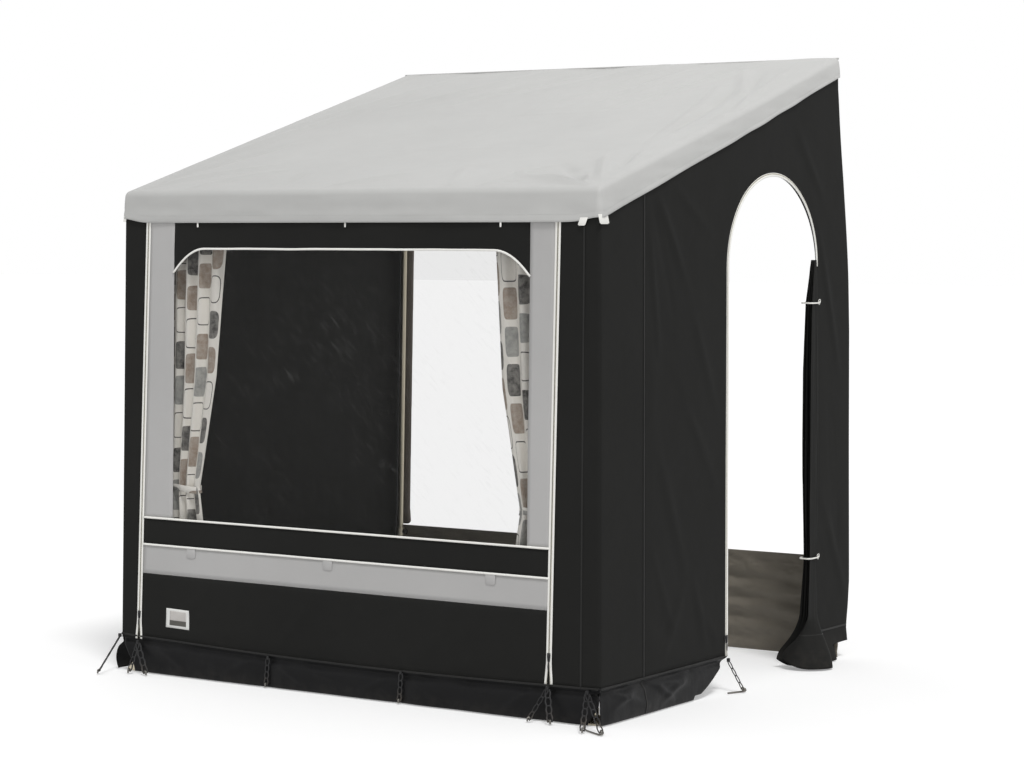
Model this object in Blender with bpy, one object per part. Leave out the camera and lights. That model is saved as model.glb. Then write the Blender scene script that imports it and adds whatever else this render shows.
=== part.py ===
"""Lean-to porch tent: a sloped roof on two front legs and two back poles, closed by fabric walls.

Lengths are in metres. The tent is laid out with x across the front from its left corner, y from the front
wall to the back edge and z up from the ground, and the finished model is centred on its footprint.
"""

import math

import bmesh
import bpy
import numpy as np
from mathutils import Vector

# Overall sizes
WIDTH = 2.15
DEPTH = 1.80
EAVES = 1.85
BACK_HEIGHT = 2.375
SPLAY = 0.045
ROOF_SAG = 0.03
ROOF_LAP = 0.01
SLOPE = (BACK_HEIGHT - EAVES) / DEPTH

# Cloth and clearances
CLOTH = 0.003
FILM = 0.001
GAP = 0.0003
GROUND_CLEARANCE = 0.004

# Front wall, from the ground up and from the left corner to the right
HEM = 0.13
BAND_FOOT = 0.388
LOWER_PIPING = 0.500
UPPER_PIPING = 0.604
WINDOW_TOP = 1.635
WINDOW_SHOULDER_WIDTH = 0.15
WINDOW_SHOULDER_HEIGHT = 0.09
FILM_LAP = 0.012
RETURN_LEFT = 0.126
RETURN_RIGHT = 0.165
BAND_LEFT_WIDTH = 0.128
BAND_RIGHT_WIDTH = 0.116
ZIP_WIDTH = 0.018
ZIP_DRIFT_LEFT = 0.040
ZIP_DRIFT_RIGHT = 0.045
WINDOW_DRIFT = 0.020
CORNER_OPENING_LEFT = 0.075
CORNER_OPENING_RIGHT = 0.035

# Valances
VALANCE_FRONT = 0.118
VALANCE_SIDE_FRONT = 0.107
VALANCE_SIDE_BACK = 0.075
KEDER_RADIUS = 0.00375

# Right wall with its arched door
CORNER_PANEL = 0.29
DOOR_FRONT = 0.88
DOOR_WIDTH = 0.69
DOOR_SPRING = 1.56
ARCH_STEPS = 16
DOOR_ZIP_WIDTH = 0.010
DOOR_ZIP_SETBACK = 0.003
ZIP_THICKNESS = 0.002
SKIRT_RISE_START = 0.64
SLIT_BACK = 0.105
FOOT_WINDOW = 0.065

# Zip sliders
SLIDER_WIDTH = 0.014
SLIDER_LENGTH = 0.030
SLIDER_THICKNESS = 0.006
PULL_WIDTH = 0.006
PULL_LENGTH = 0.030
SLIDER_REST = 0.21
DOOR_SLIDER_REST = 0.15

# Gathered door and its ties
FLAP_TOP = 1.585
FLAP_THICKNESS = 0.052
FLAP_WIDTH = 0.092
FLAP_FLARE = 0.27
FLAP_FOLDS = 6
FLAP_FOLD_DEPTH = 0.45
FLAP_FOOT = 0.002
TIE_UPPER = 1.420
TIE_LOWER = 0.430
TIE_HEIGHT = 0.008
TIE_CORD = 0.004
TIE_CLEARANCE = 0.0009

# Curtains on their rail
RAIL_DROP = 0.19
RAIL_RADIUS = 0.003
CURTAIN_FOOT = 0.56
CURTAIN_CLOTH = 0.004
CURTAIN_FOLDS = 6
CURTAIN_FOLD_DEPTH = 0.016
CURTAIN_TIE = 0.72
CURTAIN_INSET = 0.20
CURTAIN_TOP_WIDTH = 0.265
CURTAIN_TIE_WIDTH = 0.150
CURTAIN_FOOT_WIDTH = 0.175
CURTAIN_FULLEST = 0.46
CURTAIN_STEPS = (0, 0.09, 0.21, 0.35, 0.51, 0.67, 0.83, 1)

# Draught skirt and back pads
SKIRT_TOP = 0.405
SKIRT_FRONT = 0.0255
SKIRT_WRINKLE = 0.008
SKIRT_WRINKLES = 5
SKIRT_SIDE_CLEARANCE = 0.006
PAD_WIDTH = 0.075
PAD_THICKNESS = 0.032
PAD_CHAMFER = 0.006
PAD_SIDE_CLEARANCE = 0.005

# Tubes, joints, clamps and feet
TUBE_RADIUS = 0.0125
TUBE_BORE = 0.0115
INNER_RADIUS = 0.0110
INNER_BORE = 0.0100
PLUG_RADIUS = 0.0110
PLUG_LENGTH = 0.045
TUBE_INSET = 0.045
TUBE_SIDES = 16
SPIGOT_LENGTH = 0.10
SPIGOT_SEAT = 0.02
COLLAR_RADIUS = 0.0185
COLLAR_HEIGHT = 0.035
COLLAR_TAPER = 0.003
CLAMP_FRONT = 0.62
CLAMP_BACK = 0.36
OVERLAP_FRONT = 0.36
OVERLAP_BACK = 0.45
KNOB_SHAFT = 0.0042
KNOB_BORE = 0.0047
KNOB_HEAD = 0.011
KNOB_HEAD_LENGTH = 0.012
KNOB_STANDOFF = 0.0009
FOOT_HALF = 0.025
FOOT_TOP_HALF = 0.014
FOOT_RIM = 0.006
FOOT_HEIGHT = 0.030
FOOT_SHOULDER = 0.004
FOOT_SOCKET_TOP = 0.058
FOOT_FLOOR = 0.012

# Rubber ladder straps
STRAP_WIDTH = 0.022
STRAP_THICKNESS = 0.004
STRAP_RAIL = 0.0055
STRAP_RUNG = 0.005
STRAP_SLOTS = 3
STRAP_HOOK_HEIGHT = 0.118
STRAP_HOOK_SIZE = 0.014
STRAP_STANDOFF = 0.0008
STRAP_FOOT_HEIGHT = 0.010
MIDDLE_STRAPS = {"left": 0.724, "right": 1.335}
MIDDLE_STRAP_REACH = 0.012
ZIP_STRAP_REACH = 0.055
ZIP_STRAP_SPREADS = {"left": (0.0, 0.065), "right": (-0.055, 0.035)}
CORNER_STRAP_REACH = 0.128
CORNER_HOOK_INSET = 0.045
CORNER_STRAP_SPREAD = (0.055, 0.130)
DOOR_STRAP_REACH = 0.070
DOOR_STRAP_SLOTS = 2

# Places worked out from the sizes above
ZIP_LEFT = RETURN_LEFT
ZIP_RIGHT = WIDTH - RETURN_RIGHT
WINDOW_LEFT = ZIP_LEFT + BAND_LEFT_WIDTH
WINDOW_RIGHT = ZIP_RIGHT - BAND_RIGHT_WIDTH
DOOR_BACK = DOOR_FRONT + DOOR_WIDTH
DOOR_RADIUS = DOOR_WIDTH / 2
DOOR_MIDDLE = DOOR_FRONT + DOOR_RADIUS
ROOF_ANGLE = math.atan(SLOPE)
FRAME_DROP = CLOTH + (TUBE_RADIUS + GAP) / math.cos(ROOF_ANGLE)
LEG_BACK = DEPTH - TUBE_INSET
FRONT_TOP = EAVES - CLOTH - GAP
ROOF_MARGIN = TUBE_INSET + TUBE_RADIUS + ROOF_LAP
RAIL_HEIGHT = EAVES - RAIL_DROP
CURTAIN_TOP = RAIL_HEIGHT - RAIL_RADIUS - GAP


def roof_height(y):
    """Height of the roof's upper face above the ground at depth y."""
    return EAVES + SLOPE * y


def hub_height(y):
    """Height of the frame's centre line under the roof at depth y."""
    return roof_height(y) - FRAME_DROP


def front_drift(x):
    """How far the front wall's seams lean to the left at the ground."""
    places = (0, ZIP_LEFT, WINDOW_LEFT, WINDOW_RIGHT, ZIP_RIGHT, WIDTH)
    shifts = (0, ZIP_DRIFT_LEFT, 0, WINDOW_DRIFT, ZIP_DRIFT_RIGHT, 0)
    return np.interp(x, places, shifts)


def settled(points, front=False):
    """Points after the left feet are set out by SPLAY; front seams also lean by their drift."""
    points = np.array(points, float).reshape(-1, 3)
    x, _, z = points.T
    fall = 1 - z / EAVES
    shift = SPLAY * (1 - x / WIDTH)
    if front:
        shift = shift + front_drift(x)
    points[:, 0] = x - shift * fall
    return points


# Building blocks


def material(name, colour, roughness=0.7, metallic=0.0):
    """A plain material of one colour."""
    made = bpy.data.materials.new(name)
    made.use_nodes = True
    shader = made.node_tree.nodes["Principled BSDF"]
    shader.inputs["Base Color"].default_value = (*colour, 1)
    shader.inputs["Roughness"].default_value = roughness
    shader.inputs["Metallic"].default_value = metallic
    return made


def shell(rings, closed=False):
    """A closed surface through rings of points, joined end to start when closed, and capped when not."""
    bm = bmesh.new()
    rows = [[bm.verts.new(point) for point in ring] for ring in rings]
    following = rows[1:] + (rows[:1] if closed else [])
    for near, far in zip(rows, following):
        for i in range(len(near)):
            j = (i + 1) % len(near)
            bm.faces.new((near[i], near[j], far[j], far[i]))
    if not closed:
        bm.faces.new(rows[0][::-1])
        bm.faces.new(rows[-1])
    bmesh.ops.recalc_face_normals(bm, faces=bm.faces)
    return bm


def front_slab(outline, near=0.0, thick=CLOTH):
    """A sheet in the plane of the front wall, from an outline of (x, z) points."""
    return shell([[(x, y, z) for x, z in outline] for y in (near, near + thick)])


def side_slab(outline, near, thick=CLOTH):
    """A sheet in the plane of a side wall, from an outline of (y, z) points."""
    return shell([[(x, y, z) for y, z in outline] for x in (near, near + thick)])


def box(low, high):
    """A block between two corners."""
    (x0, y0, z0), (x1, y1, z1) = low, high
    return shell([[(x0, y0, z), (x1, y0, z), (x1, y1, z), (x0, y1, z)] for z in (z0, z1)])


def circle(centre, direction, radius, sides=TUBE_SIDES):
    """A ring of points round a centre, square to a direction."""
    direction = Vector(direction).normalized()
    reference = Vector((1, 0, 0)) if abs(direction.z) > 0.9 else Vector((0, 0, 1))
    first = reference.cross(direction).normalized()
    second = direction.cross(first)
    angles = [2 * math.pi * i / sides for i in range(sides)]
    return [Vector(centre) + radius * (math.cos(a) * first + math.sin(a) * second) for a in angles]


def turned(start, direction, profile, hollow=False, sides=TUBE_SIDES):
    """A turned shape: profile lists (distance along the axis, radius)."""
    axis = Vector(direction).normalized()
    rings = [circle(Vector(start) + axis * along, axis, radius, sides) for along, radius in profile]
    return shell(rings, closed=hollow)


def as_object(bm):
    """A temporary object for a Boolean."""
    mesh = bpy.data.meshes.new("working")
    bm.to_mesh(mesh)
    bm.free()
    holder = bpy.data.objects.new("working", mesh)
    bpy.context.scene.collection.objects.link(holder)
    return holder


def combined(base, others, operation="UNION"):
    """The base shape joined with, or cut by, the other shapes."""
    pieces = [as_object(bm) for bm in (base, *others)]
    for cutter in pieces[1:]:
        step = pieces[0].modifiers.new("combine", "BOOLEAN")
        step.operation = operation
        step.solver = "EXACT"
        step.object = cutter
    bpy.context.view_layer.update()
    evaluated = pieces[0].evaluated_get(bpy.context.evaluated_depsgraph_get())
    result = bmesh.new()
    result.from_mesh(evaluated.to_mesh())
    evaluated.to_mesh_clear()
    for piece in pieces:
        mesh = piece.data
        bpy.data.objects.remove(piece)
        bpy.data.meshes.remove(mesh)
    return result


ROOT = None


def add(name, bm, finish, pivot=None, front=False, smooth=False):
    """Makes the named object from a shape, with its origin on its pivot."""
    mesh = bpy.data.meshes.new(name)
    bm.to_mesh(mesh)
    bm.free()
    points = np.zeros(len(mesh.vertices) * 3)
    mesh.vertices.foreach_get("co", points)
    origin = settled(pivot, front)[0] if pivot is not None else np.zeros(3)
    points = settled(points, front) - origin
    mesh.vertices.foreach_set("co", points.ravel())
    mesh.materials.append(finish)
    if smooth:
        mesh.shade_smooth()
        mesh.set_sharp_from_angle(angle=math.radians(40))
    mesh.update()
    made = bpy.data.objects.new(name, mesh)
    bpy.context.scene.collection.objects.link(made)
    made.location = origin
    made.parent = ROOT
    return made


# Roof


def sag(x, y):
    """How far the roof hangs between its tubes: zero over the frame, most in the middle."""
    across = np.clip((x - ROOF_MARGIN) / (WIDTH - 2 * ROOF_MARGIN), 0, 1)
    along = np.clip((y - ROOF_MARGIN) / (DEPTH - 2 * ROOF_MARGIN), 0, 1)
    return ROOF_SAG * np.sin(math.pi * across) * np.sin(math.pi * along)


def roof_canopy(cloth):
    """The roof sheet, sagging a little between the eaves rail, the rafters and the back rail."""
    edge = GAP + CLOTH
    xs = [-edge, *np.linspace(ROOF_MARGIN, WIDTH - ROOF_MARGIN, 11), WIDTH + edge]
    ys = [-edge, *np.linspace(ROOF_MARGIN, DEPTH - ROOF_MARGIN, 9), DEPTH]
    upper = [[(x, y, roof_height(y) - sag(x, y)) for x in xs] for y in ys]
    bm = bmesh.new()
    tops = [[bm.verts.new(p) for p in row] for row in upper]
    lows = [[bm.verts.new((x, y, z - CLOTH)) for x, y, z in row] for row in upper]
    rows, columns = len(ys), len(xs)
    for j in range(rows - 1):
        for i in range(columns - 1):
            bm.faces.new((tops[j][i], tops[j][i + 1], tops[j + 1][i + 1], tops[j + 1][i]))
            bm.faces.new((lows[j][i], lows[j + 1][i], lows[j + 1][i + 1], lows[j][i + 1]))
    rim = [(0, i) for i in range(columns)] + [(j, columns - 1) for j in range(1, rows)]
    rim += [(rows - 1, i) for i in range(columns - 2, -1, -1)] + [(j, 0) for j in range(rows - 2, 0, -1)]
    for (j0, i0), (j1, i1) in zip(rim, rim[1:] + rim[:1]):
        bm.faces.new((tops[j0][i0], lows[j0][i0], lows[j1][i1], tops[j1][i1]))
    bmesh.ops.recalc_face_normals(bm, faces=bm.faces)
    add("roof_canopy", bm, cloth)


def valances(cloth):
    """The strips that hang from the roof's edges, outside the walls."""
    top = roof_height(-CLOTH) - CLOTH - GAP
    foot = EAVES - VALANCE_FRONT
    reach = GAP + CLOTH
    outline = [(-reach, foot), (WIDTH + reach, foot), (WIDTH + reach, top), (-reach, top)]
    add("roof_valance_front", front_slab(outline, near=-reach), cloth)
    under = CLOTH + GAP
    outline = [
        (0, EAVES - VALANCE_SIDE_FRONT),
        (DEPTH, BACK_HEIGHT - VALANCE_SIDE_BACK),
        (DEPTH, BACK_HEIGHT - under),
        (0, EAVES - under),
    ]
    add("roof_valance_left", side_slab(outline, near=-reach), cloth)
    add("roof_valance_right", side_slab(outline, near=WIDTH + GAP), cloth)


def roof_keder(cloth):
    """The round cord along the back edge, which slides into a rail."""
    start = (0, DEPTH + GAP + KEDER_RADIUS, BACK_HEIGHT - CLOTH / 2)
    profile = [(0, KEDER_RADIUS), (WIDTH, KEDER_RADIUS)]
    add("roof_keder", turned(start, (1, 0, 0), profile, sides=12), cloth, smooth=True)


# Walls


def wall_top(y):
    """Where a wall's upper edge meets the underside of the roof."""
    return roof_height(y) - CLOTH - GAP


def corner_wall(name, plan, foot, cloth):
    """A wall that turns the corner: its plan outline carried up to the roof."""
    rings = [[(x, y, foot) for x, y in plan], [(x, y, wall_top(y)) for x, y in plan]]
    add(name, shell(rings), cloth, front=True)


def side_walls(dark):
    """The left wall and the right corner panel, each with its return on the front."""
    inner, edge = CLOTH, ZIP_LEFT - ZIP_WIDTH / 2 - GAP
    plan = [(0, 0), (edge, 0), (edge, inner), (inner, inner), (inner, DEPTH), (0, DEPTH)]
    corner_wall("left_wall", plan, HEM + GAP, dark)
    inner, edge = WIDTH - CLOTH, ZIP_RIGHT + ZIP_WIDTH / 2 + GAP
    plan = [(edge, 0), (WIDTH, 0), (WIDTH, CORNER_PANEL), (inner, CORNER_PANEL)]
    plan += [(inner, CLOTH), (edge, CLOTH)]
    corner_wall("right_wall_corner_panel", plan, HEM + GAP, dark)


def door_arch(offset):
    """Points round the door's edge at an offset outside it, from the front jamb to the back one."""
    radius = DOOR_RADIUS + offset
    angles = [math.pi * (1 - i / ARCH_STEPS) for i in range(ARCH_STEPS + 1)]
    return [(DOOR_MIDDLE + radius * math.cos(a), DOOR_SPRING + radius * math.sin(a)) for a in angles]


def door_wall(dark):
    """The right wall round the arched door, with the cut-out over the back foot."""
    start = CORNER_PANEL + GAP
    outline = [(start, HEM + GAP), (DOOR_FRONT, HEM + GAP), *door_arch(0)]
    outline += [(DOOR_BACK, GROUND_CLEARANCE), (DEPTH - SLIT_BACK, GROUND_CLEARANCE)]
    outline += [(DEPTH - SLIT_BACK, FOOT_WINDOW), (DEPTH, FOOT_WINDOW)]
    outline += [(DEPTH, wall_top(DEPTH)), (start, wall_top(start))]
    add("right_wall_door_panel", side_slab(outline, near=WIDTH - CLOTH), dark)


def window_arch(offset):
    """The window's top from left to right, with rounded shoulders, at an offset outside it."""
    width, height = WINDOW_SHOULDER_WIDTH + offset, WINDOW_SHOULDER_HEIGHT + offset
    left, right = WINDOW_LEFT + WINDOW_SHOULDER_WIDTH, WINDOW_RIGHT - WINDOW_SHOULDER_WIDTH
    spring = WINDOW_TOP - WINDOW_SHOULDER_HEIGHT
    turns = [math.pi / 2 * i / 6 for i in range(7)]
    rise = [(left - width * math.cos(a), spring + height * math.sin(a)) for a in turns]
    fall = [(right + width * math.cos(a), spring + height * math.sin(a)) for a in reversed(turns)]
    return rise + fall


def front_panel(name, x0, x1, z0, z1, cloth):
    """A plain rectangular panel of the front wall."""
    add(name, front_slab([(x0, z0), (x1, z0), (x1, z1), (x0, z1)]), cloth, front=True)


def front_wall(dark, grey, film):
    """The front wall between its two zips."""
    left = ZIP_LEFT + ZIP_WIDTH / 2 + GAP
    right = ZIP_RIGHT - ZIP_WIDTH / 2 - GAP
    front_panel("front_side_band_left", left, WINDOW_LEFT, UPPER_PIPING + GAP, FRONT_TOP, grey)
    front_panel("front_side_band_right", WINDOW_RIGHT, right, UPPER_PIPING + GAP, FRONT_TOP, grey)
    front_panel("sill_band_dark", left, right, LOWER_PIPING + GAP, UPPER_PIPING, dark)
    front_panel("sill_band_grey", left, right, BAND_FOOT + GAP, LOWER_PIPING, grey)
    front_panel("front_lower_panel", left, right, HEM + GAP, BAND_FOOT, dark)
    arch = [(min(max(x, WINDOW_LEFT + GAP), WINDOW_RIGHT - GAP), z) for x, z in window_arch(0)]
    outline = arch + [(WINDOW_RIGHT - GAP, FRONT_TOP), (WINDOW_LEFT + GAP, FRONT_TOP)]
    add("front_header", front_slab(outline), dark, front=True)
    foot = UPPER_PIPING - FILM_LAP
    outline = [(WINDOW_RIGHT + FILM_LAP, foot), (WINDOW_LEFT - FILM_LAP, foot), *window_arch(FILM_LAP)]
    add("window_film", front_slab(outline, near=CLOTH + GAP, thick=FILM), film, front=True)


def mud_flaps(vinyl):
    """The skirts from the hem to the ground, open at the front corners."""
    low, high = GROUND_CLEARANCE, HEM
    front_panel("mud_flap_front", CORNER_OPENING_LEFT, WIDTH - CORNER_OPENING_RIGHT, low, high, vinyl)
    outline = [(CORNER_OPENING_LEFT, low), (DEPTH, low), (DEPTH, high), (CORNER_OPENING_LEFT, high)]
    add("mud_flap_left", side_slab(outline, near=0), vinyl)
    start, edge = CORNER_OPENING_RIGHT, DOOR_FRONT
    outline = [(start, low), (SKIRT_RISE_START, low), (edge, high - CLOTH), (edge, high), (start, high)]
    add("mud_flap_right", side_slab(outline, near=WIDTH - CLOTH), vinyl)


# Zips


def slider_outline(centre, foot):
    """A zip slider seen from outside: a waisted body with its pull hanging below."""
    half, pull = SLIDER_WIDTH / 2, PULL_WIDTH / 2
    top = foot + SLIDER_LENGTH
    right = [(pull, foot - PULL_LENGTH), (pull, foot), (half * 0.7, foot), (half, top)]
    return [(centre + a, b) for a, b in right] + [(centre - a, b) for a, b in reversed(right)]


def front_zips(tape, plastic):
    """The two zips beside the front panel, each with a slider that runs on the outside."""
    for side, x in (("left", ZIP_LEFT), ("right", ZIP_RIGHT)):
        front_panel(f"front_zip_{side}", x - ZIP_WIDTH / 2, x + ZIP_WIDTH / 2, HEM + GAP, FRONT_TOP, tape)
        outline = slider_outline(x, SLIDER_REST)
        bm = front_slab(outline, near=-GAP - SLIDER_THICKNESS, thick=SLIDER_THICKNESS)
        add(f"zip_slider_{side}", bm, plastic, pivot=(x, -GAP, SLIDER_REST), front=True)


def door_zip(tape, plastic):
    """The zip round the door's front jamb and arch, and its slider."""
    inner, outer = DOOR_ZIP_SETBACK, DOOR_ZIP_SETBACK + DOOR_ZIP_WIDTH
    outline = [(DOOR_FRONT - outer, HEM), *door_arch(outer)]
    outline += [*reversed(door_arch(inner)), (DOOR_FRONT - inner, HEM)]
    add("door_zip", side_slab(outline, near=WIDTH + GAP, thick=ZIP_THICKNESS), tape)
    middle = DOOR_FRONT - (inner + outer) / 2
    near = WIDTH + 2 * GAP + ZIP_THICKNESS
    bm = side_slab(slider_outline(middle, DOOR_SLIDER_REST + PULL_LENGTH), near=near, thick=SLIDER_THICKNESS)
    add("door_slider", bm, plastic, pivot=(near, middle, DOOR_SLIDER_REST))


# Hanging cloth


def flap_size(z):
    """Half thickness, front edge and back edge of the gathered door at a height."""
    heights = (0, 0.10, 0.24, TIE_LOWER, 0.75, 1.15, TIE_UPPER, FLAP_TOP)
    thick = (1.15, 1.10, 1.0, 0.80, 1.0, 1.0, 0.80, 0.35)
    reach = (FLAP_FLARE, FLAP_FLARE * 0.90, FLAP_WIDTH * 1.20, FLAP_WIDTH * 0.85)
    reach += (FLAP_WIDTH, FLAP_WIDTH, FLAP_WIDTH * 0.80, FLAP_WIDTH * 0.30)
    half = np.interp(z, heights, thick) * FLAP_THICKNESS / 2
    back = DOOR_BACK - TIE_CLEARANCE - TIE_CORD - GAP
    return half, back - np.interp(z, heights, reach), back


def flap_ring(z, grow=0.0, folds=True, sides=48):
    """The gathered door's outline at a height: an ellipse drawn in at its folds."""
    half, front, back = flap_size(z)
    angles = np.linspace(0, 2 * math.pi, sides, endpoint=False)
    depth = FLAP_FOLD_DEPTH if folds else 0.0
    draw = 1 - depth * 0.5 * (1 - np.cos(FLAP_FOLDS * angles + 2.0 * z))
    x = WIDTH + (half * draw + grow) * np.cos(angles)
    y = (front + back) / 2 + ((back - front) / 2 * (0.35 + 0.65 * draw) + grow) * np.sin(angles)
    return [(a, b, z) for a, b in zip(x, y)]


def door_flap(dark, cord):
    """The gathered door beside its back jamb, held by two ties."""
    hinge = (WIDTH, DOOR_BACK, GROUND_CLEARANCE)
    foot = GROUND_CLEARANCE + FLAP_FOOT
    heights = [foot, 0.06, 0.12, 0.18, 0.26, 0.35, TIE_LOWER, 0.51, 0.65, 0.85, 1.05]
    heights += [1.22, 1.34, TIE_UPPER, 1.50, FLAP_TOP]
    add("door_flap", shell([flap_ring(z) for z in heights]), dark, pivot=hinge, smooth=True)
    for name, z in (("door_tie_upper", TIE_UPPER), ("door_tie_lower", TIE_LOWER)):
        inside = TIE_CLEARANCE
        outside = inside + TIE_CORD
        low, high = z - TIE_HEIGHT / 2, z + TIE_HEIGHT / 2
        loops = ((inside, low), (outside, low), (outside, high), (inside, high))
        rings = [[(x, y, h) for x, y, _ in flap_ring(z, grow, folds=False, sides=24)] for grow, h in loops]
        add(name, shell(rings, closed=True), cord, pivot=hinge)


def curtain_ring(z, outer, direction, widths):
    """A curtain's outline at a height: a folded sheet drawn in at its tie."""
    fullest = CURTAIN_TIE + CURTAIN_FULLEST * (CURTAIN_TOP - CURTAIN_TIE)
    heights = (CURTAIN_FOOT, CURTAIN_TIE, fullest, CURTAIN_TOP)
    width = np.interp(z, heights, widths)
    depth = CURTAIN_FOLD_DEPTH * np.interp(z, heights, (0.9, 0.55, 0.8, 1.0))
    share = np.linspace(0, 1, 37)
    x = outer + direction * width * share
    wave = TUBE_INSET + depth * np.sin(2 * math.pi * CURTAIN_FOLDS * share + 1.5 * (z - CURTAIN_TIE))
    near = list(zip(x, wave - CURTAIN_CLOTH / 2))
    far = list(zip(x, wave + CURTAIN_CLOTH / 2))
    ring = near + far[::-1]
    return [(a, b, z) for a, b in (ring if direction > 0 else ring[::-1])]


def curtains(printed, metal):
    """Two gathered curtains under a round rail between the front legs."""
    start = TUBE_INSET + TUBE_RADIUS + GAP
    profile = [(0, RAIL_RADIUS), (WIDTH - 2 * start, RAIL_RADIUS)]
    rail = turned((start, TUBE_INSET, RAIL_HEIGHT), (1, 0, 0), profile, sides=8)
    add("curtain_rail", rail, metal)
    widths = (CURTAIN_FOOT_WIDTH, CURTAIN_TIE_WIDTH, CURTAIN_TOP_WIDTH * 0.86, CURTAIN_TOP_WIDTH)
    heights = [CURTAIN_FOOT, (CURTAIN_FOOT + CURTAIN_TIE) / 2]
    heights += [CURTAIN_TIE + (CURTAIN_TOP - CURTAIN_TIE) * step for step in CURTAIN_STEPS]
    for side, outer, direction in (("left", CURTAIN_INSET, 1), ("right", WIDTH - CURTAIN_INSET, -1)):
        rings = [curtain_ring(z, outer, direction, widths) for z in heights]
        add(f"curtain_{side}", shell(rings), printed, pivot=(outer, TUBE_INSET, RAIL_HEIGHT), smooth=True)


def draught_skirt(cloth):
    """The wrinkled skirt along the back, from the pads down to the ground."""
    heights = np.linspace(GROUND_CLEARANCE, SKIRT_TOP, 17)
    share = (heights - GROUND_CLEARANCE) / (SKIRT_TOP - GROUND_CLEARANCE)
    rings = []
    for x in np.linspace(SKIRT_SIDE_CLEARANCE, WIDTH - SKIRT_SIDE_CLEARANCE, 13):
        swing = np.sin(2 * math.pi * SKIRT_WRINKLES * share + 2.2 * x) * np.sin(math.pi * share)
        y = DEPTH - SKIRT_FRONT + SKIRT_WRINKLE * (1 + swing)
        front = [(x, a, z) for a, z in zip(y, heights)]
        back = [(x, a + CLOTH, z) for a, z in zip(y, heights)]
        rings.append(front + back[::-1])
    add("draught_skirt", shell(rings), cloth, smooth=True)


def back_pads(foam):
    """The padded seals on the back poles, with their flat faces to the wall behind."""
    low, high = SKIRT_TOP + GAP, roof_height(DEPTH - PAD_THICKNESS) - CLOTH - GAP
    y0, y1, cut = DEPTH - PAD_THICKNESS, DEPTH, PAD_CHAMFER
    for side, x0 in (("left", PAD_SIDE_CLEARANCE), ("right", WIDTH - PAD_SIDE_CLEARANCE - PAD_WIDTH)):
        x1 = x0 + PAD_WIDTH
        plan = [(x0, y0 + cut), (x0 + cut, y0), (x1 - cut, y0), (x1, y0 + cut)]
        plan += [(x1, y1 - cut), (x1 - cut, y1), (x0 + cut, y1), (x0, y1 - cut)]
        add(f"rear_pad_{side}", shell([[(x, y, z) for x, y in plan] for z in (low, high)]), foam)


# Frame


def along_roof():
    """The unit direction up the roof's slope."""
    return Vector((0, math.cos(ROOF_ANGLE), math.sin(ROOF_ANGLE)))


def plug(centre, direction, radius=PLUG_RADIUS):
    """A plug that stands out of a hub into a tube's bore."""
    return turned(centre, direction, [(0, radius), (TUBE_RADIUS + PLUG_LENGTH, radius)])


def hub(centre):
    """The short cross bar that a joint's plugs stand on."""
    start = Vector(centre) - Vector((TUBE_RADIUS, 0, 0))
    return turned(start, (1, 0, 0), [(0, TUBE_RADIUS), (2 * TUBE_RADIUS, TUBE_RADIUS)])


def clamp_tube(x, y, foot, top):
    """An outer tube with a clamp collar at its foot."""
    length = top - foot
    profile = [(0, TUBE_BORE), (0, COLLAR_RADIUS), (COLLAR_HEIGHT, COLLAR_RADIUS)]
    profile += [(COLLAR_HEIGHT + COLLAR_TAPER, TUBE_RADIUS), (length, TUBE_RADIUS), (length, TUBE_BORE)]
    return turned((x, y, foot), (0, 0, 1), profile, hollow=True)


def knob_hole(x, y, foot, inward):
    """The cutter for the clamp screw's hole through the collar."""
    start = (x + inward * INNER_BORE, y, foot + COLLAR_HEIGHT / 2)
    return turned(start, (inward, 0, 0), [(0, KNOB_BORE), (2 * COLLAR_RADIUS, KNOB_BORE)], sides=12)


def clamp_knob(name, x, y, foot, inward, plastic):
    """The clamp screw with its round head, turned inwards from the collar."""
    tip = INNER_RADIUS + KNOB_STANDOFF
    head = COLLAR_RADIUS + KNOB_STANDOFF
    profile = [(tip, KNOB_SHAFT), (head, KNOB_SHAFT), (head, KNOB_HEAD), (head + KNOB_HEAD_LENGTH, KNOB_HEAD)]
    centre = (x, y, foot + COLLAR_HEIGHT / 2)
    add(name, turned(centre, (inward, 0, 0), profile, sides=12), plastic, pivot=centre, smooth=True)


def square(x, y, z, half):
    """A square ring with as many points as a tube's ring, in the same order."""
    points = []
    for point in circle((0, 0, 0), (0, 0, 1), 1.0):
        reach = half / max(abs(point.x), abs(point.y))
        points.append((x + point.x * reach, y + point.y * reach, z))
    return points


def foot_rings(x, y):
    """The tapered foot's square rings, from the ground up."""
    sizes = ((0, FOOT_HALF), (FOOT_RIM, FOOT_HALF), (FOOT_HEIGHT, FOOT_TOP_HALF))
    return [square(x, y, z, half) for z, half in sizes]


def front_leg(side, x, inward, steel, foot_metal, plastic):
    """A front leg: the outer tube under the corner joint, the inner tube with its foot, and the screw."""
    y, foot, top = TUBE_INSET, CLAMP_FRONT, hub_height(TUBE_INSET) - TUBE_RADIUS - GAP
    upper = combined(clamp_tube(x, y, foot, top), [knob_hole(x, y, foot, inward)], "DIFFERENCE")
    add(f"leg_front_{side}_upper", upper, steel, smooth=True)
    rings, end = foot_rings(x, y), foot + OVERLAP_FRONT
    tube = ((FOOT_HEIGHT + FOOT_SHOULDER, TUBE_RADIUS), (FOOT_SOCKET_TOP, TUBE_RADIUS))
    tube += ((FOOT_SOCKET_TOP, INNER_RADIUS), (end, INNER_RADIUS))
    tube += ((end, INNER_BORE), (FOOT_SOCKET_TOP, INNER_BORE))
    rings += [circle((x, y, z), (0, 0, 1), radius) for z, radius in tube]
    add(f"leg_front_{side}_lower", shell(rings), foot_metal, pivot=(x, y, 0), smooth=True)
    clamp_knob(f"clamp_knob_front_{side}", x, y, foot, inward, plastic)


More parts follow.
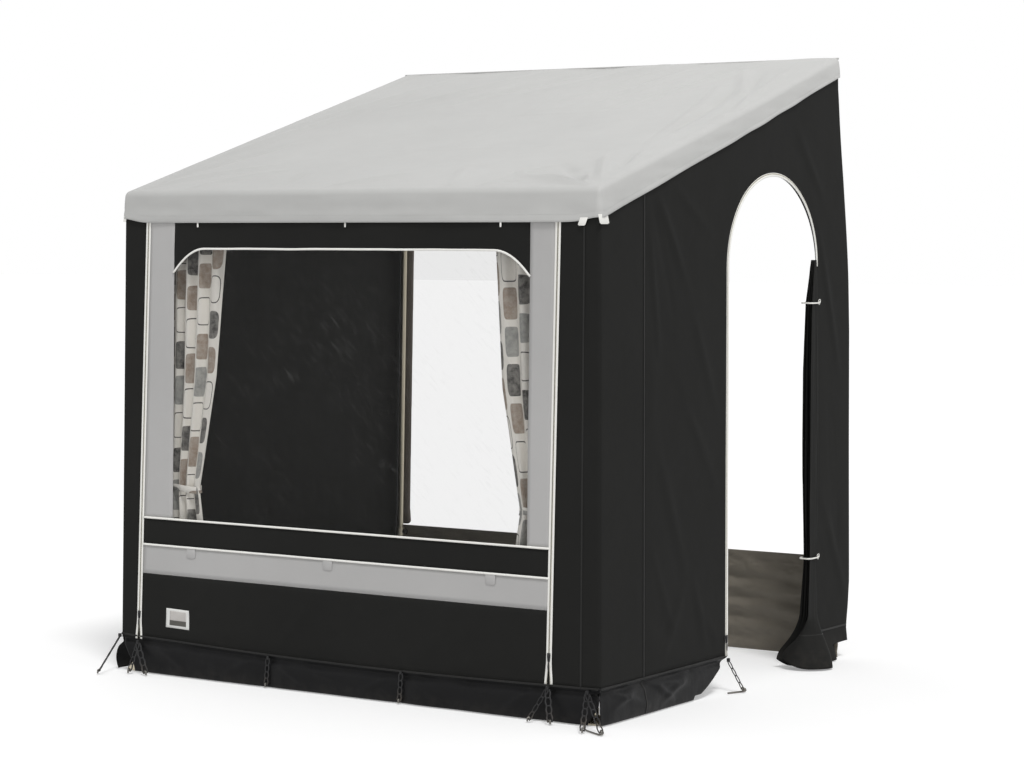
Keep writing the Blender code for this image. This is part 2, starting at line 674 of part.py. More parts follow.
def back_pole(side, x, inward, steel, foot_metal, plastic):
    """A back pole: the outer tube with the rafter's plug, the inner tube, its foot and the clamp screw."""
    y, foot, centre = LEG_BACK, CLAMP_BACK, (x, LEG_BACK, hub_height(LEG_BACK))
    tube = clamp_tube(x, y, foot, centre[2] - TUBE_RADIUS / 3)
    head = combined(tube, [hub(centre), plug(centre, -along_roof())])
    upper = combined(head, [knob_hole(x, y, foot, inward)], "DIFFERENCE")
    add(f"pole_rear_{side}_upper", upper, steel, smooth=True)
    bottom = FOOT_FLOOR + GAP
    length = foot + OVERLAP_BACK - bottom
    profile = [(0, INNER_BORE), (0, INNER_RADIUS), (length, INNER_RADIUS), (length, INNER_BORE)]
    lower = turned((x, y, bottom), (0, 0, 1), profile, hollow=True)
    add(f"pole_rear_{side}_lower", lower, steel, pivot=(x, y, 0), smooth=True)
    rings = foot_rings(x, y - FOOT_HALF + TUBE_RADIUS)
    bore = INNER_RADIUS + GAP
    socket = ((FOOT_HEIGHT + FOOT_SHOULDER, FOOT_TOP_HALF), (FOOT_SOCKET_TOP, FOOT_TOP_HALF))
    socket += ((FOOT_SOCKET_TOP, bore), (FOOT_FLOOR, bore))
    rings += [circle((x, y, z), (0, 0, 1), radius) for z, radius in socket]
    add(f"foot_rear_{side}", shell(rings), foot_metal, pivot=(x, y, 0), smooth=True)
    clamp_knob(f"clamp_knob_rear_{side}", x, y, foot, inward, plastic)


def corner_joint(side, x, inward, plastic):
    """The joint that holds a front leg, the eaves rail and a rafter."""
    centre = Vector((x, TUBE_INSET, hub_height(TUBE_INSET)))
    plugs = [plug(centre, (0, 0, -1)), plug(centre, (inward, 0, 0)), plug(centre, along_roof())]
    add(f"corner_joint_{side}", combined(hub(centre), plugs), plastic, smooth=True)


def rafter(side, x, steel):
    """A roof tube from a corner joint to a back pole's plug."""
    start = Vector((x, TUBE_INSET, hub_height(TUBE_INSET)))
    span = (LEG_BACK - TUBE_INSET) / math.cos(ROOF_ANGLE)
    near = TUBE_RADIUS + GAP
    far = span - (TUBE_RADIUS * (1 + math.sin(ROOF_ANGLE)) / math.cos(ROOF_ANGLE) + 2 * GAP)
    profile = [(near, TUBE_BORE), (near, TUBE_RADIUS), (far, TUBE_RADIUS), (far, TUBE_BORE)]
    add(f"rafter_{side}", turned(start, along_roof(), profile, hollow=True), steel, smooth=True)


def eaves_rails(steel):
    """The eaves rail in two tubes, joined by a spigot in the middle."""
    near = TUBE_INSET + TUBE_RADIUS + GAP
    height, middle = hub_height(TUBE_INSET), WIDTH / 2
    half = middle - near
    left = [(0, TUBE_BORE), (0, TUBE_RADIUS), (half, TUBE_RADIUS), (half, TUBE_BORE)]
    bm = turned((near, TUBE_INSET, height), (1, 0, 0), left, hollow=True)
    add("eaves_rail_left", bm, steel, smooth=True)
    start, end = middle - SPIGOT_LENGTH, WIDTH - near
    step, stop = SPIGOT_LENGTH + GAP, end - start
    right = [(0, INNER_BORE), (0, INNER_RADIUS), (step, INNER_RADIUS), (step, TUBE_RADIUS)]
    right += [(stop, TUBE_RADIUS), (stop, TUBE_BORE)]
    right += [(step + SPIGOT_SEAT, TUBE_BORE), (step + SPIGOT_SEAT, INNER_BORE)]
    bm = turned((start, TUBE_INSET, height), (1, 0, 0), right, hollow=True)
    add("eaves_rail_right", bm, steel, smooth=True)


def frame(steel, foot_metal, plastic):
    """All tubes, joints, clamps and feet."""
    for side, x, inward in (("left", TUBE_INSET, 1), ("right", WIDTH - TUBE_INSET, -1)):
        corner_joint(side, x, inward, plastic)
        rafter(side, x, steel)
        front_leg(side, x, inward, steel, foot_metal, plastic)
        back_pole(side, x, inward, steel, foot_metal, plastic)
    eaves_rails(steel)


# Straps


def ladder(start, end, across, slots=STRAP_SLOTS):
    """A rubber ladder strap from its hook end to its foot: two rails joined by rungs."""
    start, end = Vector(start), Vector(end)
    along = (end - start).normalized()
    across = Vector(across)
    across = (across - across.dot(along) * along).normalized()
    normal = along.cross(across)
    length = (end - start).length
    pitch = (length - STRAP_RUNG) / slots
    stations = [0.0]
    for i in range(slots):
        stations += [STRAP_RUNG + i * pitch, (i + 1) * pitch]
    stations.append(length)
    half = STRAP_WIDTH / 2
    lines = (-half, -half + STRAP_RAIL, half - STRAP_RAIL, half)
    bm = bmesh.new()
    grid = [[bm.verts.new(start + along * s + across * w) for w in lines] for s in stations]
    for i in range(len(stations) - 1):
        for j in range(3):
            if i % 2 == 0 or j != 1:
                bm.faces.new((grid[i][j], grid[i][j + 1], grid[i + 1][j + 1], grid[i + 1][j]))
    grown = bmesh.ops.extrude_face_region(bm, geom=bm.faces[:])
    moved = [v for v in grown["geom"] if isinstance(v, bmesh.types.BMVert)]
    bmesh.ops.translate(bm, verts=moved, vec=normal * STRAP_THICKNESS)
    bmesh.ops.recalc_face_normals(bm, faces=bm.faces)
    return bm


def hooked_ladders(hook, feet, across, slots=STRAP_SLOTS):
    """One or two ladder straps that hang from a hook block."""
    half = Vector((1, 1, 1)) * STRAP_HOOK_SIZE / 2
    block = box(Vector(hook) - half, Vector(hook) + half)
    return combined(block, [ladder(hook, foot, across, slots) for foot in feet])


def front_hook(x, z):
    """The middle of a hook block on the front, and the top edge of its back, where it turns."""
    half = STRAP_HOOK_SIZE / 2
    return (x, -STRAP_STANDOFF - half, z), (x, -STRAP_STANDOFF, z + half)


def middle_straps(rubber):
    """The two straps flat against the front's mud flap."""
    for side, x in MIDDLE_STRAPS.items():
        hook = (x, -STRAP_STANDOFF, STRAP_HOOK_HEIGHT)
        foot = (x, -STRAP_STANDOFF - MIDDLE_STRAP_REACH, STRAP_FOOT_HEIGHT)
        add(f"strap_middle_{side}", ladder(hook, foot, (1, 0, 0)), rubber, pivot=hook, front=True)


def zip_straps(rubber):
    """A pair of straps that spread from the foot of each front zip."""
    for side, x in (("left", ZIP_LEFT), ("right", ZIP_RIGHT)):
        hook, seat = front_hook(x, STRAP_HOOK_HEIGHT)
        feet = [(x + reach, -ZIP_STRAP_REACH, STRAP_FOOT_HEIGHT) for reach in ZIP_STRAP_SPREADS[side]]
        bm = hooked_ladders(hook, feet, (1, 0.1, 0))
        add(f"strap_zip_{side}", bm, rubber, pivot=seat, front=True)


def corner_straps(rubber):
    """The single strap at the left front corner and the pair at the right one."""
    hook, seat = front_hook(0, HEM + GAP + STRAP_HOOK_SIZE / 2)
    foot = (0, -CORNER_STRAP_REACH, STRAP_FOOT_HEIGHT)
    add("strap_corner_left", hooked_ladders(hook, [foot], (0.77, -0.64, 0)), rubber, pivot=seat)
    hook, seat = front_hook(WIDTH - CORNER_HOOK_INSET, STRAP_HOOK_HEIGHT)
    feet = [(hook[0] + reach, -CORNER_STRAP_REACH, STRAP_FOOT_HEIGHT) for reach in CORNER_STRAP_SPREAD]
    add("strap_corner_right", hooked_ladders(hook, feet, (0.7, 0.7, 0)), rubber, pivot=seat)


def door_strap(rubber):
    """The strap at the foot of the door's front jamb."""
    half = STRAP_HOOK_SIZE / 2
    hook = (WIDTH + STRAP_STANDOFF + half, DOOR_FRONT, HEM - 2 * half)
    seat = (WIDTH + STRAP_STANDOFF, DOOR_FRONT, HEM - half)
    foot = (WIDTH + DOOR_STRAP_REACH, DOOR_FRONT, STRAP_FOOT_HEIGHT)
    bm = hooked_ladders(hook, [foot], (0, 1, 0), DOOR_STRAP_SLOTS)
    add("strap_door", bm, rubber, pivot=seat)


def straps(rubber):
    """The ground straps along the front, at the corners and at the door's front jamb."""
    middle_straps(rubber)
    zip_straps(rubber)
    corner_straps(rubber)
    door_strap(rubber)


def centre_on_footprint():
    """Moves the whole tent so that the middle of its footprint is the origin."""
    bpy.context.view_layer.update()
    low, high = np.full(3, 1e9), np.full(3, -1e9)
    for child in ROOT.children:
        points = np.zeros(len(child.data.vertices) * 3)
        child.data.vertices.foreach_get("co", points)
        points = points.reshape(-1, 3) + np.array(child.location)
        low, high = np.minimum(low, points.min(0)), np.maximum(high, points.max(0))
    middle = (low + high) / 2
    ROOT.location = (-middle[0], -middle[1], -low[2])
    print("footprint centre", np.round(middle, 5), "lowest", round(low[2], 5))
    bpy.context.view_layer.update()


def main():
    global ROOT
    for old in list(bpy.data.objects):
        bpy.data.objects.remove(old)
    ROOT = bpy.data.objects.new("tent", None)
    bpy.context.scene.collection.objects.link(ROOT)
    roof = material("roof_cloth", (0.62, 0.62, 0.61))
    dark = material("dark_cloth", (0.022, 0.023, 0.024))
    grey = material("grey_cloth", (0.40, 0.41, 0.42))
    vinyl = material("mud_flap_vinyl", (0.012, 0.012, 0.013), 0.45)
    film = material("window_film", (0.75, 0.78, 0.78), 0.08)
    tape = material("zip_tape", (0.80, 0.78, 0.70))
    printed = material("curtain_cloth", (0.66, 0.62, 0.54), 0.85)
    silver = material("draught_cloth", (0.16, 0.17, 0.18), 0.5)
    foam = material("pad_cloth", (0.14, 0.14, 0.145), 0.8)
    steel = material("galvanised_tube", (0.60, 0.56, 0.45), 0.35, 1.0)
    foot_metal = material("foot_metal", (0.62, 0.61, 0.58), 0.4, 1.0)
    plastic = material("black_plastic", (0.02, 0.02, 0.02), 0.5)
    cord = material("white_cord", (0.78, 0.77, 0.74), 0.8)
    rubber = material("strap_rubber", (0.015, 0.015, 0.015), 0.6)
    roof_canopy(roof)
    valances(roof)
    roof_keder(roof)
    side_walls(dark)
    door_wall(dark)
    front_wall(dark, grey, film)
    mud_flaps(vinyl)
    front_zips(tape, plastic)
    door_zip(tape, plastic)
    door_flap(dark, cord)
    curtains(printed, steel)
    draught_skirt(silver)
    back_pads(foam)
    frame(steel, foot_metal, plastic)
    straps(rubber)
    centre_on_footprint()


main()
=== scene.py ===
"""Looks of a lean-to porch tent: cloth, film, zips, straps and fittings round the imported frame.

Lengths are in metres. A place is x from the tent's left front corner, y from its front wall and z up from
the ground, and settle() carries it to the frame's own coordinates.
"""

import math
from collections import namedtuple

import bmesh
import bpy
import numpy as np
from mathutils import Matrix, Vector


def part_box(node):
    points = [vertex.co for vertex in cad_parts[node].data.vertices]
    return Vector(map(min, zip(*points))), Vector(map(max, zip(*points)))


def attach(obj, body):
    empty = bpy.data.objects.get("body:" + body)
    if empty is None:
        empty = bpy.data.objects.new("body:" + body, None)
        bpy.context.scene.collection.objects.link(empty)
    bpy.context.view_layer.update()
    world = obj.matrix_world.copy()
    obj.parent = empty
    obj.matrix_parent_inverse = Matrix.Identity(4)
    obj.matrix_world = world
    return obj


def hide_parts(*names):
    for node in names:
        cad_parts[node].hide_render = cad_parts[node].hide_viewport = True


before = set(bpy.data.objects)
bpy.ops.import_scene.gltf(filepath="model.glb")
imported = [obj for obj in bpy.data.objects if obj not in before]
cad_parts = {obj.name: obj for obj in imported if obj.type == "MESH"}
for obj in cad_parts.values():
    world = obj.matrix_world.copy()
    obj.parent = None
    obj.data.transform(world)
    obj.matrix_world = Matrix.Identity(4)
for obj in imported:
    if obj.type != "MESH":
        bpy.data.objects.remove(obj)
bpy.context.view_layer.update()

bl_info = {
    "name": "Porch tent looks",
    "version": (1, 0, 0),
    "blender": (4, 5, 0),
    "location": "3D View > Sidebar > Porch tent",
    "description": "Dresses the packed porch tent with cloth, film, zips, straps and fittings",
    "category": "Object",
}

# Sizes that repeat the part's own
CLOTH = 0.003
GAP = 0.0003
EAVES = 1.85
SPLAY = 0.045
ROOF_SAG = 0.03
ROOF_MARGIN = 0.0675
HEM = 0.13
BAND_FOOT = 0.388
LOWER_PIPING = 0.500
UPPER_PIPING = 0.604
WINDOW_TOP = 1.635
SHOULDER_WIDTH = 0.15
SHOULDER_HEIGHT = 0.09
ZIP_LEFT = 0.126
ZIP_RIGHT = 1.985
ZIP_WIDTH = 0.018
WINDOW_LEFT = 0.254
WINDOW_RIGHT = 1.869
SEAM_PLACES = (0, ZIP_LEFT, WINDOW_LEFT, WINDOW_RIGHT, ZIP_RIGHT, 2.15)
SEAM_DRIFTS = (0, 0.040, 0, 0.020, 0.045, 0)
CORNER_PANEL = 0.29
DOOR_FRONT = 0.88
DOOR_BACK = 1.57
DOOR_SPRING = 1.56
DOOR_RADIUS = (DOOR_BACK - DOOR_FRONT) / 2
DOOR_MIDDLE = (DOOR_BACK + DOOR_FRONT) / 2
SKIRT_RISE_START = 0.64
RETURN_SEAM = 2.09
SLIT_BACK = 0.105
FOOT_WINDOW = 0.065
FLAP_TOP = 1.585
TIE_UPPER = 1.420
TIE_LOWER = 0.430
TIE_CLEARANCE = 0.0009
RAIL_HEIGHT = 1.66
RAIL_RADIUS = 0.003
CURTAIN_FOOT = 0.56
CURTAIN_TIE = 0.72
CURTAIN_INSET = 0.20
SKIRT_TOP = 0.405
SKIRT_FRONT = 0.0255
PAD_WIDTH = 0.075
PAD_THICKNESS = 0.032
PAD_SIDE_CLEARANCE = 0.005
TUBE_INSET = 0.045
STRAP_HOOK_HEIGHT = 0.118
STRAP_FOOT_HEIGHT = 0.010
STRAP_STANDOFF = 0.0008
STRAP_HOOK_SIZE = 0.014

# Sizes of the looks alone
GROUND = 0.004
HIDDEN_EDGE = 0.030
DOOR_CLOTH = 0.0014
CURTAIN_CLOTH = 0.0012
SKIRT_CLOTH = 0.0010

# The roof's own box gives the tent's length and breadth and its place in the frame
ROOF_LOW, ROOF_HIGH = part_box("roof_canopy")
ORIGIN = np.array((ROOF_LOW.x + CLOTH + GAP, ROOF_LOW.y + CLOTH + GAP, 0.0))
WIDTH = ROOF_HIGH.x - ROOF_LOW.x - 2 * (CLOTH + GAP)
DEPTH = ROOF_HIGH.y - ROOF_LOW.y - (CLOTH + GAP)
BACK_HEIGHT = ROOF_HIGH.z
SLOPE = (BACK_HEIGHT - EAVES) / DEPTH
LEG_BACK = DEPTH - TUBE_INSET

Shape = namedtuple("Shape", "points faces caps uv")


def tone(red, green, blue):
    """A linear colour from its shares of 255 on a screen."""
    share = np.array((red, green, blue)) / 255
    linear = np.where(share <= 0.04045, share / 12.92, ((share + 0.055) / 1.055) ** 2.4)
    return tuple(float(v) for v in linear)


# Places


def at(*parts):
    """Places or map points from their parts, which are numbers or arrays that stretch to one shape."""
    return np.stack(np.broadcast_arrays(*parts), -1)


def circle(count):
    """Even turns round a circle, from 0 up to, and without, a whole one."""
    return np.linspace(0, 2 * np.pi, count, endpoint=False)


def squared(turn, power):
    """A circle's x and y, each size taken to a power below 1, which makes the outline squarer."""
    return [np.sign(f) * np.abs(f) ** power for f in (np.cos(turn), np.sin(turn))]


def roof_height(y):
    """Height of the roof's plane at depth y: the eaves and an even rise to the back."""
    return EAVES + SLOPE * y


def settle(points, drift=False):
    """Tent places as frame places: the left side leans out by SPLAY and the front seams by their drift, both
    in step with how far a point is below the eaves."""
    places = np.array(points, float)
    x, z = places[..., 0], places[..., 2]
    lean = SPLAY * (1 - x / WIDTH)
    if drift:
        lean = lean + np.interp(x, SEAM_PLACES, SEAM_DRIFTS)
    places[..., 0] = x - lean * (1 - z / EAVES)
    return places + ORIGIN


def settled(shape, drift=False):
    """A shape whose points are tent places, carried to the frame."""
    return shape._replace(points=settle(shape.points, drift))


def ease(share):
    """A smooth step from 0 to 1: three squares less two cubes."""
    share = np.clip(share, 0, 1)
    return share * share * (3 - 2 * share)


def rumple(a, b, size, seed, octaves=2):
    """Smooth noise from -1 to 1: random heights on a square lattice joined by smooth steps, each octave half
    as wide and half as high as the one before."""
    total = 0
    for octave in range(octaves):
        u = np.asarray(a) / size * 2**octave + 13.7 * octave + seed
        v = np.asarray(b) / size * 2**octave + 7.3 * octave - seed
        i, j = np.floor(u), np.floor(v)
        s, t = ease(u - i), ease(v - j)

        def height(column, row):
            """A height from -1 to 1 at a point of the lattice: what follows the point of a large sine."""
            wave = np.sin(column * 127.1 + row * 311.7 + seed * 74.7) * 43758.5453
            return 2 * (wave - np.floor(wave)) - 1

        near = height(i, j) * (1 - s) + height(i + 1, j) * s
        far = height(i, j + 1) * (1 - s) + height(i + 1, j + 1) * s
        total = total + (near * (1 - t) + far * t) * 0.5**octave
    return total / (2 - 0.5 ** (octaves - 1))


def fold_line(a, b, a0, b0, a1, b1, width, height):
    """A crease: a ridge along a line, as high as half a sine along it and a bell curve across it say."""
    run = math.hypot(a1 - a0, b1 - b0)
    along = ((a - a0) * (a1 - a0) + (b - b0) * (b1 - b0)) / run**2
    across = ((a - a0) * (b1 - b0) - (b - b0) * (a1 - a0)) / run
    fade = np.sin(np.pi * np.clip(along, 0, 1))
    return height * fade * np.exp(-((across / width) ** 2))


def creased(a, b, rows):
    """The sum of creases, each a row of its start, its end, its width and its height."""
    return sum(fold_line(a, b, *row) for row in rows)


# Meshes


def corners(grid, around=False, flip=False):
    """The four corners of each cell of a grid, in turn."""
    if around:
        grid = np.concatenate([grid, grid[:, :1]], axis=1)
    turns = [grid[:-1, :-1], grid[:-1, 1:], grid[1:, 1:], grid[1:, :-1]]
    return np.stack(turns[::-1] if flip else turns, 2)


def patch(points, uv=None, around=False, flip=False, caps=False):
    """A surface through a grid of points. Its map is in metres: the mean length along rows and columns."""
    points = np.asarray(points, float)
    rows, columns = points.shape[:2]
    number = np.arange(rows * columns).reshape(rows, columns)
    if uv is None:
        closed = np.concatenate([points, points[:, :1]], axis=1) if around else points
        steps = np.linalg.norm(np.diff(closed, axis=1), axis=2).mean(0)
        rises = np.linalg.norm(np.diff(points, axis=0), axis=2).mean(1)
        across = np.concatenate([[0], np.cumsum(steps)])
        upward = np.concatenate([[0], np.cumsum(rises)])
        uv = np.stack(np.meshgrid(across, upward), -1)
    faces = corners(number, around, flip).reshape(-1, 4)
    places = corners(uv, False, flip).reshape(-1, 2)
    ends = []
    if caps:
        ends = [number[0] if flip else number[0][::-1], number[-1][::-1] if flip else number[-1]]
        places = np.concatenate([places, np.zeros((2 * columns, 2))])
    return Shape(points.reshape(-1, 3), faces, ends, places)


def joined(shapes):
    """Several shapes as one: their points, faces, ends and maps in a row."""
    starts = np.cumsum([0] + [len(shape.points) for shape in shapes])
    faces = np.concatenate([shape.faces + start for shape, start in zip(shapes, starts)])
    caps = [cap + start for shape, start in zip(shapes, starts) for cap in shape.caps]
    sides = np.concatenate([shape.uv[: 4 * len(shape.faces)] for shape in shapes])
    ends = np.concatenate([shape.uv[4 * len(shape.faces) :] for shape in shapes])
    return Shape(np.concatenate([s.points for s in shapes]), faces, caps, np.concatenate([sides, ends]))


def unit(vectors):
    """Vectors cut to a length of one."""
    return vectors / np.maximum(np.linalg.norm(vectors, axis=-1, keepdims=True), 1e-12)


def sweep(path, profile, up=(0, 0, 1), closed=False, sizes=1.0):
    """A closed profile of (across, up) offsets carried along a path: across is the path's direction crossed
    with up, so the profile stays upright. A closed path joins its end to its start."""
    path, profile = np.asarray(path, float), np.asarray(profile, float)
    if closed:
        along = np.roll(path, -1, axis=0) - np.roll(path, 1, axis=0)
    else:
        along = np.gradient(path, axis=0)
    across = unit(np.cross(along, np.broadcast_to(up, path.shape)))
    upward = unit(np.cross(across, along))
    size = np.broadcast_to(sizes, len(path))[:, None, None]
    rings = path[:, None] + size * (profile[:, :1] * across[:, None] + profile[:, 1:] * upward[:, None])
    if closed:
        rings = np.concatenate([rings, rings[:1]])
        return welded_loop(patch(rings, around=True, flip=True), len(profile))
    return patch(rings, around=True, flip=True, caps=True)


def welded_loop(shape, count):
    """A ring-shaped sweep whose last ring, a copy of the first, is taken as the first itself."""
    last = len(shape.points) - count
    faces = np.where(shape.faces >= last, shape.faces - last, shape.faces)
    return Shape(shape.points[:last], faces, [], shape.uv)


def disc(radius, sides=12, flat=1.0):
    """A round or oval profile."""
    turn = circle(sides)
    return at(radius * np.cos(turn), flat * radius * np.sin(turn))


def slab(width, height, rounding=0.4):
    """A flat profile with rounded edges, its underside at zero."""
    edge = min(width, height) * rounding
    half = width / 2
    right = [(half - edge, 0), (half, edge), (half, height - edge), (half - edge, height)]
    return np.array(right + [(-a, b) for a, b in reversed(right)])


def turned(start, axis, profile, sides):
    """A turned shape: each (distance along the axis, radius) of the profile becomes a ring."""
    axis = unit(np.asarray(axis, float))
    start = np.asarray(start, float)
    helper = np.array((1.0, 0, 0)) if abs(axis[2]) > 0.9 else np.array((0, 0, 1.0))
    first = unit(np.cross(helper, axis))
    second = np.cross(axis, first)
    turn = circle(sides)
    spokes = np.cos(turn)[:, None] * first + np.sin(turn)[:, None] * second
    profile = np.asarray(profile, float)
    rings = start + profile[:, :1, None] * axis + profile[:, 1:, None] * spokes
    return patch(rings, around=True, caps=True)


def plate(outline, base, right, up, thick, rounding):
    """A flat piece with rounded rims: its outline drawn in at the front and back faces. Outline points are
    (right, up) distances from base."""
    outline = np.asarray(outline, float)
    right, up = np.asarray(right, float), np.asarray(up, float)
    out = np.cross(right, up)
    ahead, behind = np.roll(outline, -1, axis=0), np.roll(outline, 1, axis=0)
    normal = unit((ahead - behind)[:, ::-1] * (1, -1))
    steps = ((rounding, 0), (0.3 * rounding, 0.3 * rounding), (0, rounding))
    steps += tuple((inset, thick - depth) for inset, depth in reversed(steps))
    rings = []
    for inset, depth in steps:
        drawn = outline - normal * inset
        rings.append(base + drawn[:, :1] * right + drawn[:, 1:] * up + depth * out)
    return patch(np.array(rings), around=True, caps=True)


def lengths_of(path):
    """Distance along a path at each of its points."""
    return np.concatenate([[0], np.cumsum(np.linalg.norm(np.diff(path, axis=0), axis=1))])


def sampled(path, values, stops):
    """Values given at a path's points, read off at distances along it."""
    values = np.asarray(values, float)
    return np.stack([np.interp(stops, lengths_of(path), values[:, k]) for k in range(values.shape[1])], 1)


def repeated(places, along, up, form, faces):
    """Copies of a small form along a line. Form points are (along, across, up) distances."""
    across = unit(np.cross(np.broadcast_to(up, along.shape), along))
    upward = unit(np.cross(along, across))
    form = np.asarray(form, float)
    points = places[:, None] + form[:, :1] * along[:, None] + form[:, 1:2] * across[:, None]
    points = points + form[:, 2:] * upward[:, None]
    starts = np.arange(len(places))[:, None, None] * len(form)
    quads = (np.asarray(faces)[None] + starts).reshape(-1, 4)
    return Shape(points.reshape(-1, 3), quads, [], np.zeros((4 * len(quads), 2)))


BRICK_FACES = ((0, 3, 2, 1), (4, 5, 6, 7), (0, 1, 5, 4), (1, 2, 6, 5), (2, 3, 7, 6), (3, 0, 4, 7))


def bricks(path, spacing, up, length=0.0036, width=0.0009, height=0.0006, taper=0.7):
    """Small tapered blocks along a path, such as zip teeth or stitches, smaller at the top by the taper.
    Their tops face up, which is given once or at each of the path's points."""
    path = np.asarray(path, float)
    stops = np.arange(spacing / 2, lengths_of(path)[-1], spacing)
    places = sampled(path, path, stops)
    along = unit(sampled(path, path, stops + spacing / 4) - sampled(path, path, stops - spacing / 4))
    if np.ndim(up) > 1:
        up = sampled(path, up, stops)
    a, b = length / 2, width / 2
    low = [(-a, -b, 0), (a, -b, 0), (a, b, 0), (-a, b, 0)]
    high = [(x * taper, y * taper, height) for x, y, _ in low]
    return repeated(places, along, up, low + high, BRICK_FACES)


def make(name, shapes, finish, body="tent", stands_for=(), thick=0.0, weld=False):
    """Puts shapes in a mesh, gives it its finish and lets it ride on its body."""
    shape = joined(shapes) if isinstance(shapes, list) else shapes
    mesh = bpy.data.meshes.new(name)
    mesh.from_pydata(shape.points.tolist(), [], shape.faces.tolist() + [cap.tolist() for cap in shape.caps])
    mesh.uv_layers.new(name="UVMap").data.foreach_set("uv", shape.uv.ravel().astype(np.float32))
    if weld:
        bm = bmesh.new()
        bm.from_mesh(mesh)
        bmesh.ops.remove_doubles(bm, verts=bm.verts, dist=1e-5)
        bm.to_mesh(mesh)
        bm.free()
    mesh.shade_smooth()
    mesh.materials.append(bpy.data.materials[f"{finish}_finish"])
    made = bpy.data.objects.new(name, mesh)
    bpy.context.scene.collection.objects.link(made)
    if thick:
        solid = made.modifiers.new("cloth thickness", "SOLIDIFY")
        solid.thickness = thick
        solid.offset = -1
    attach(made, body)
    if stands_for:
        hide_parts(*stands_for)
    return made


def sheet_piece(name, places, chart, finish, node, flat, held, rests_on, thick=0.0):
    """A sheet through a grid of places, made in a CAD node's place."""
    shape = patch(places, uv=chart)
    made = make(name, shape, finish, stands_for=[node], thick=thick)


# Finishes


class Graph:
    """Short ways to place and join a tree's nodes."""

    def __init__(self, tree):
        self.tree = tree

    def node(self, kind, inputs=(), **settings):
        """A node with its settings, and its inputs linked or set by name or number."""
        made = self.tree.nodes.new(kind)
        for name, value in settings.items():
            setattr(made, name, value)
        for name, value in dict(inputs).items():
            self.fill(made.inputs[name], value)
        return made

    def fill(self, socket, value):
        """Links a socket to another node's, or sets its value."""
        if isinstance(value, bpy.types.NodeSocket):
            self.tree.links.new(value, socket)
        else:
            socket.default_value = value

    def math(self, operation, a, b=0.0, clamp=False):
        """One operation on two numbers."""
        made = self.node("ShaderNodeMath", {0: a, 1: b}, operation=operation, use_clamp=clamp)
        return made.outputs[0]

    def times(self, a, b):
        """A product."""
        return self.math("MULTIPLY", a, b)

    def plus(self, a, b):
        """A sum."""
        return self.math("ADD", a, b)

    def scaled(self, value, factor, shift):
        """A value times a factor, with a shift added."""
        inputs = {0: value, 1: factor, 2: shift}
        return self.node("ShaderNodeMath", inputs, operation="MULTIPLY_ADD").outputs[0]

    def link(self, value, socket):
        """Feeds a value to a socket."""
        self.tree.links.new(value, socket)

    def noise(self, vector, scale, detail=3.0, roughness=0.5):
        """A noise from 0 to 1."""
        inputs = {"Vector": vector, "Scale": scale, "Detail": detail, "Roughness": roughness}
        made = self.node("ShaderNodeTexNoise", inputs, noise_type="FBM", normalize=True)
        return made.outputs[0]

    def remap(self, value, low, high, to_low=0.0, to_high=1.0):
        """A value carried smoothly from one range to another, and held at its ends."""
        inputs = {"Value": value, "From Min": low, "From Max": high, "To Min": to_low, "To Max": to_high}
        return self.node("ShaderNodeMapRange", inputs, interpolation_type="SMOOTHSTEP").outputs[0]

    def mix(self, factor, first, second, blend="MIX"):
        """Two colours mixed by a factor."""
        made = self.node("ShaderNodeMix", data_type="RGBA", blend_type=blend)
        self.fill(made.inputs[0], factor)
        for index, value in ((6, first), (7, second)):
            linked = isinstance(value, bpy.types.NodeSocket)
            self.fill(made.inputs[index], value if linked else (*value[:3], 1))
        return made.outputs[2]

    def split(self, vector):
        """The x, y and z of a vector."""
        return self.node("ShaderNodeSeparateXYZ", {0: vector}).outputs

    def join(self, x, y, z=0.0):
        """A vector from its x, y and z."""
        return self.node("ShaderNodeCombineXYZ", {0: x, 1: y, 2: z}).outputs[0]

    def even(self, value):
        """A vector or colour whose three parts are one value."""
        return self.join(value, value, value)

    def grown(self, vector, scale):
        """A vector times a number."""
        return self.node("ShaderNodeVectorMath", {0: vector, "Scale": scale}, operation="SCALE").outputs[0]

    def stretch(self, vector, scale, turn=(0, 0, 0)):
        """A vector turned and stretched."""
        inputs = {"Vector": vector, "Scale": scale, "Rotation": turn}
        return self.node("ShaderNodeMapping", inputs).outputs[0]


def group(name, inputs, outputs):
    """An empty node group with its named inputs and outputs."""
    tree = bpy.data.node_groups.new(name, "ShaderNodeTree")
    for label, kind, value in inputs:
        socket = tree.interface.new_socket(label, in_out="INPUT", socket_type=kind)
        if value is not None:
            socket.default_value = value
    for label, kind in outputs:
        tree.interface.new_socket(label, in_out="OUTPUT", socket_type=kind)
    graph = Graph(tree)
    return graph, graph.node("NodeGroupInput").outputs, graph.node("NodeGroupOutput")


FLOAT, VECTOR = "NodeSocketFloat", "NodeSocketVector"
CLOTH_DUST = (0.16, 0.14, 0.12)
HARD_DUST = (0.18, 0.15, 0.12)


def weave_group():
    """Plain weave: threads over and under in a chequer, from the piece's map in metres."""
    inputs = [("Map", VECTOR, None), ("Threads", FLOAT, 900.0)]
    graph, given, out = group("weave", inputs, [("Height", FLOAT)])
    u, v, _ = graph.split(given["Map"])
    turns = [graph.times(graph.times(side, given["Threads"]), math.pi) for side in (u, v)]
    waves = [graph.math("SINE", turn) for turn in turns]
    product = graph.times(waves[0], waves[1])
    graph.link(graph.scaled(product, 0.5, 0.5), out.inputs[0])


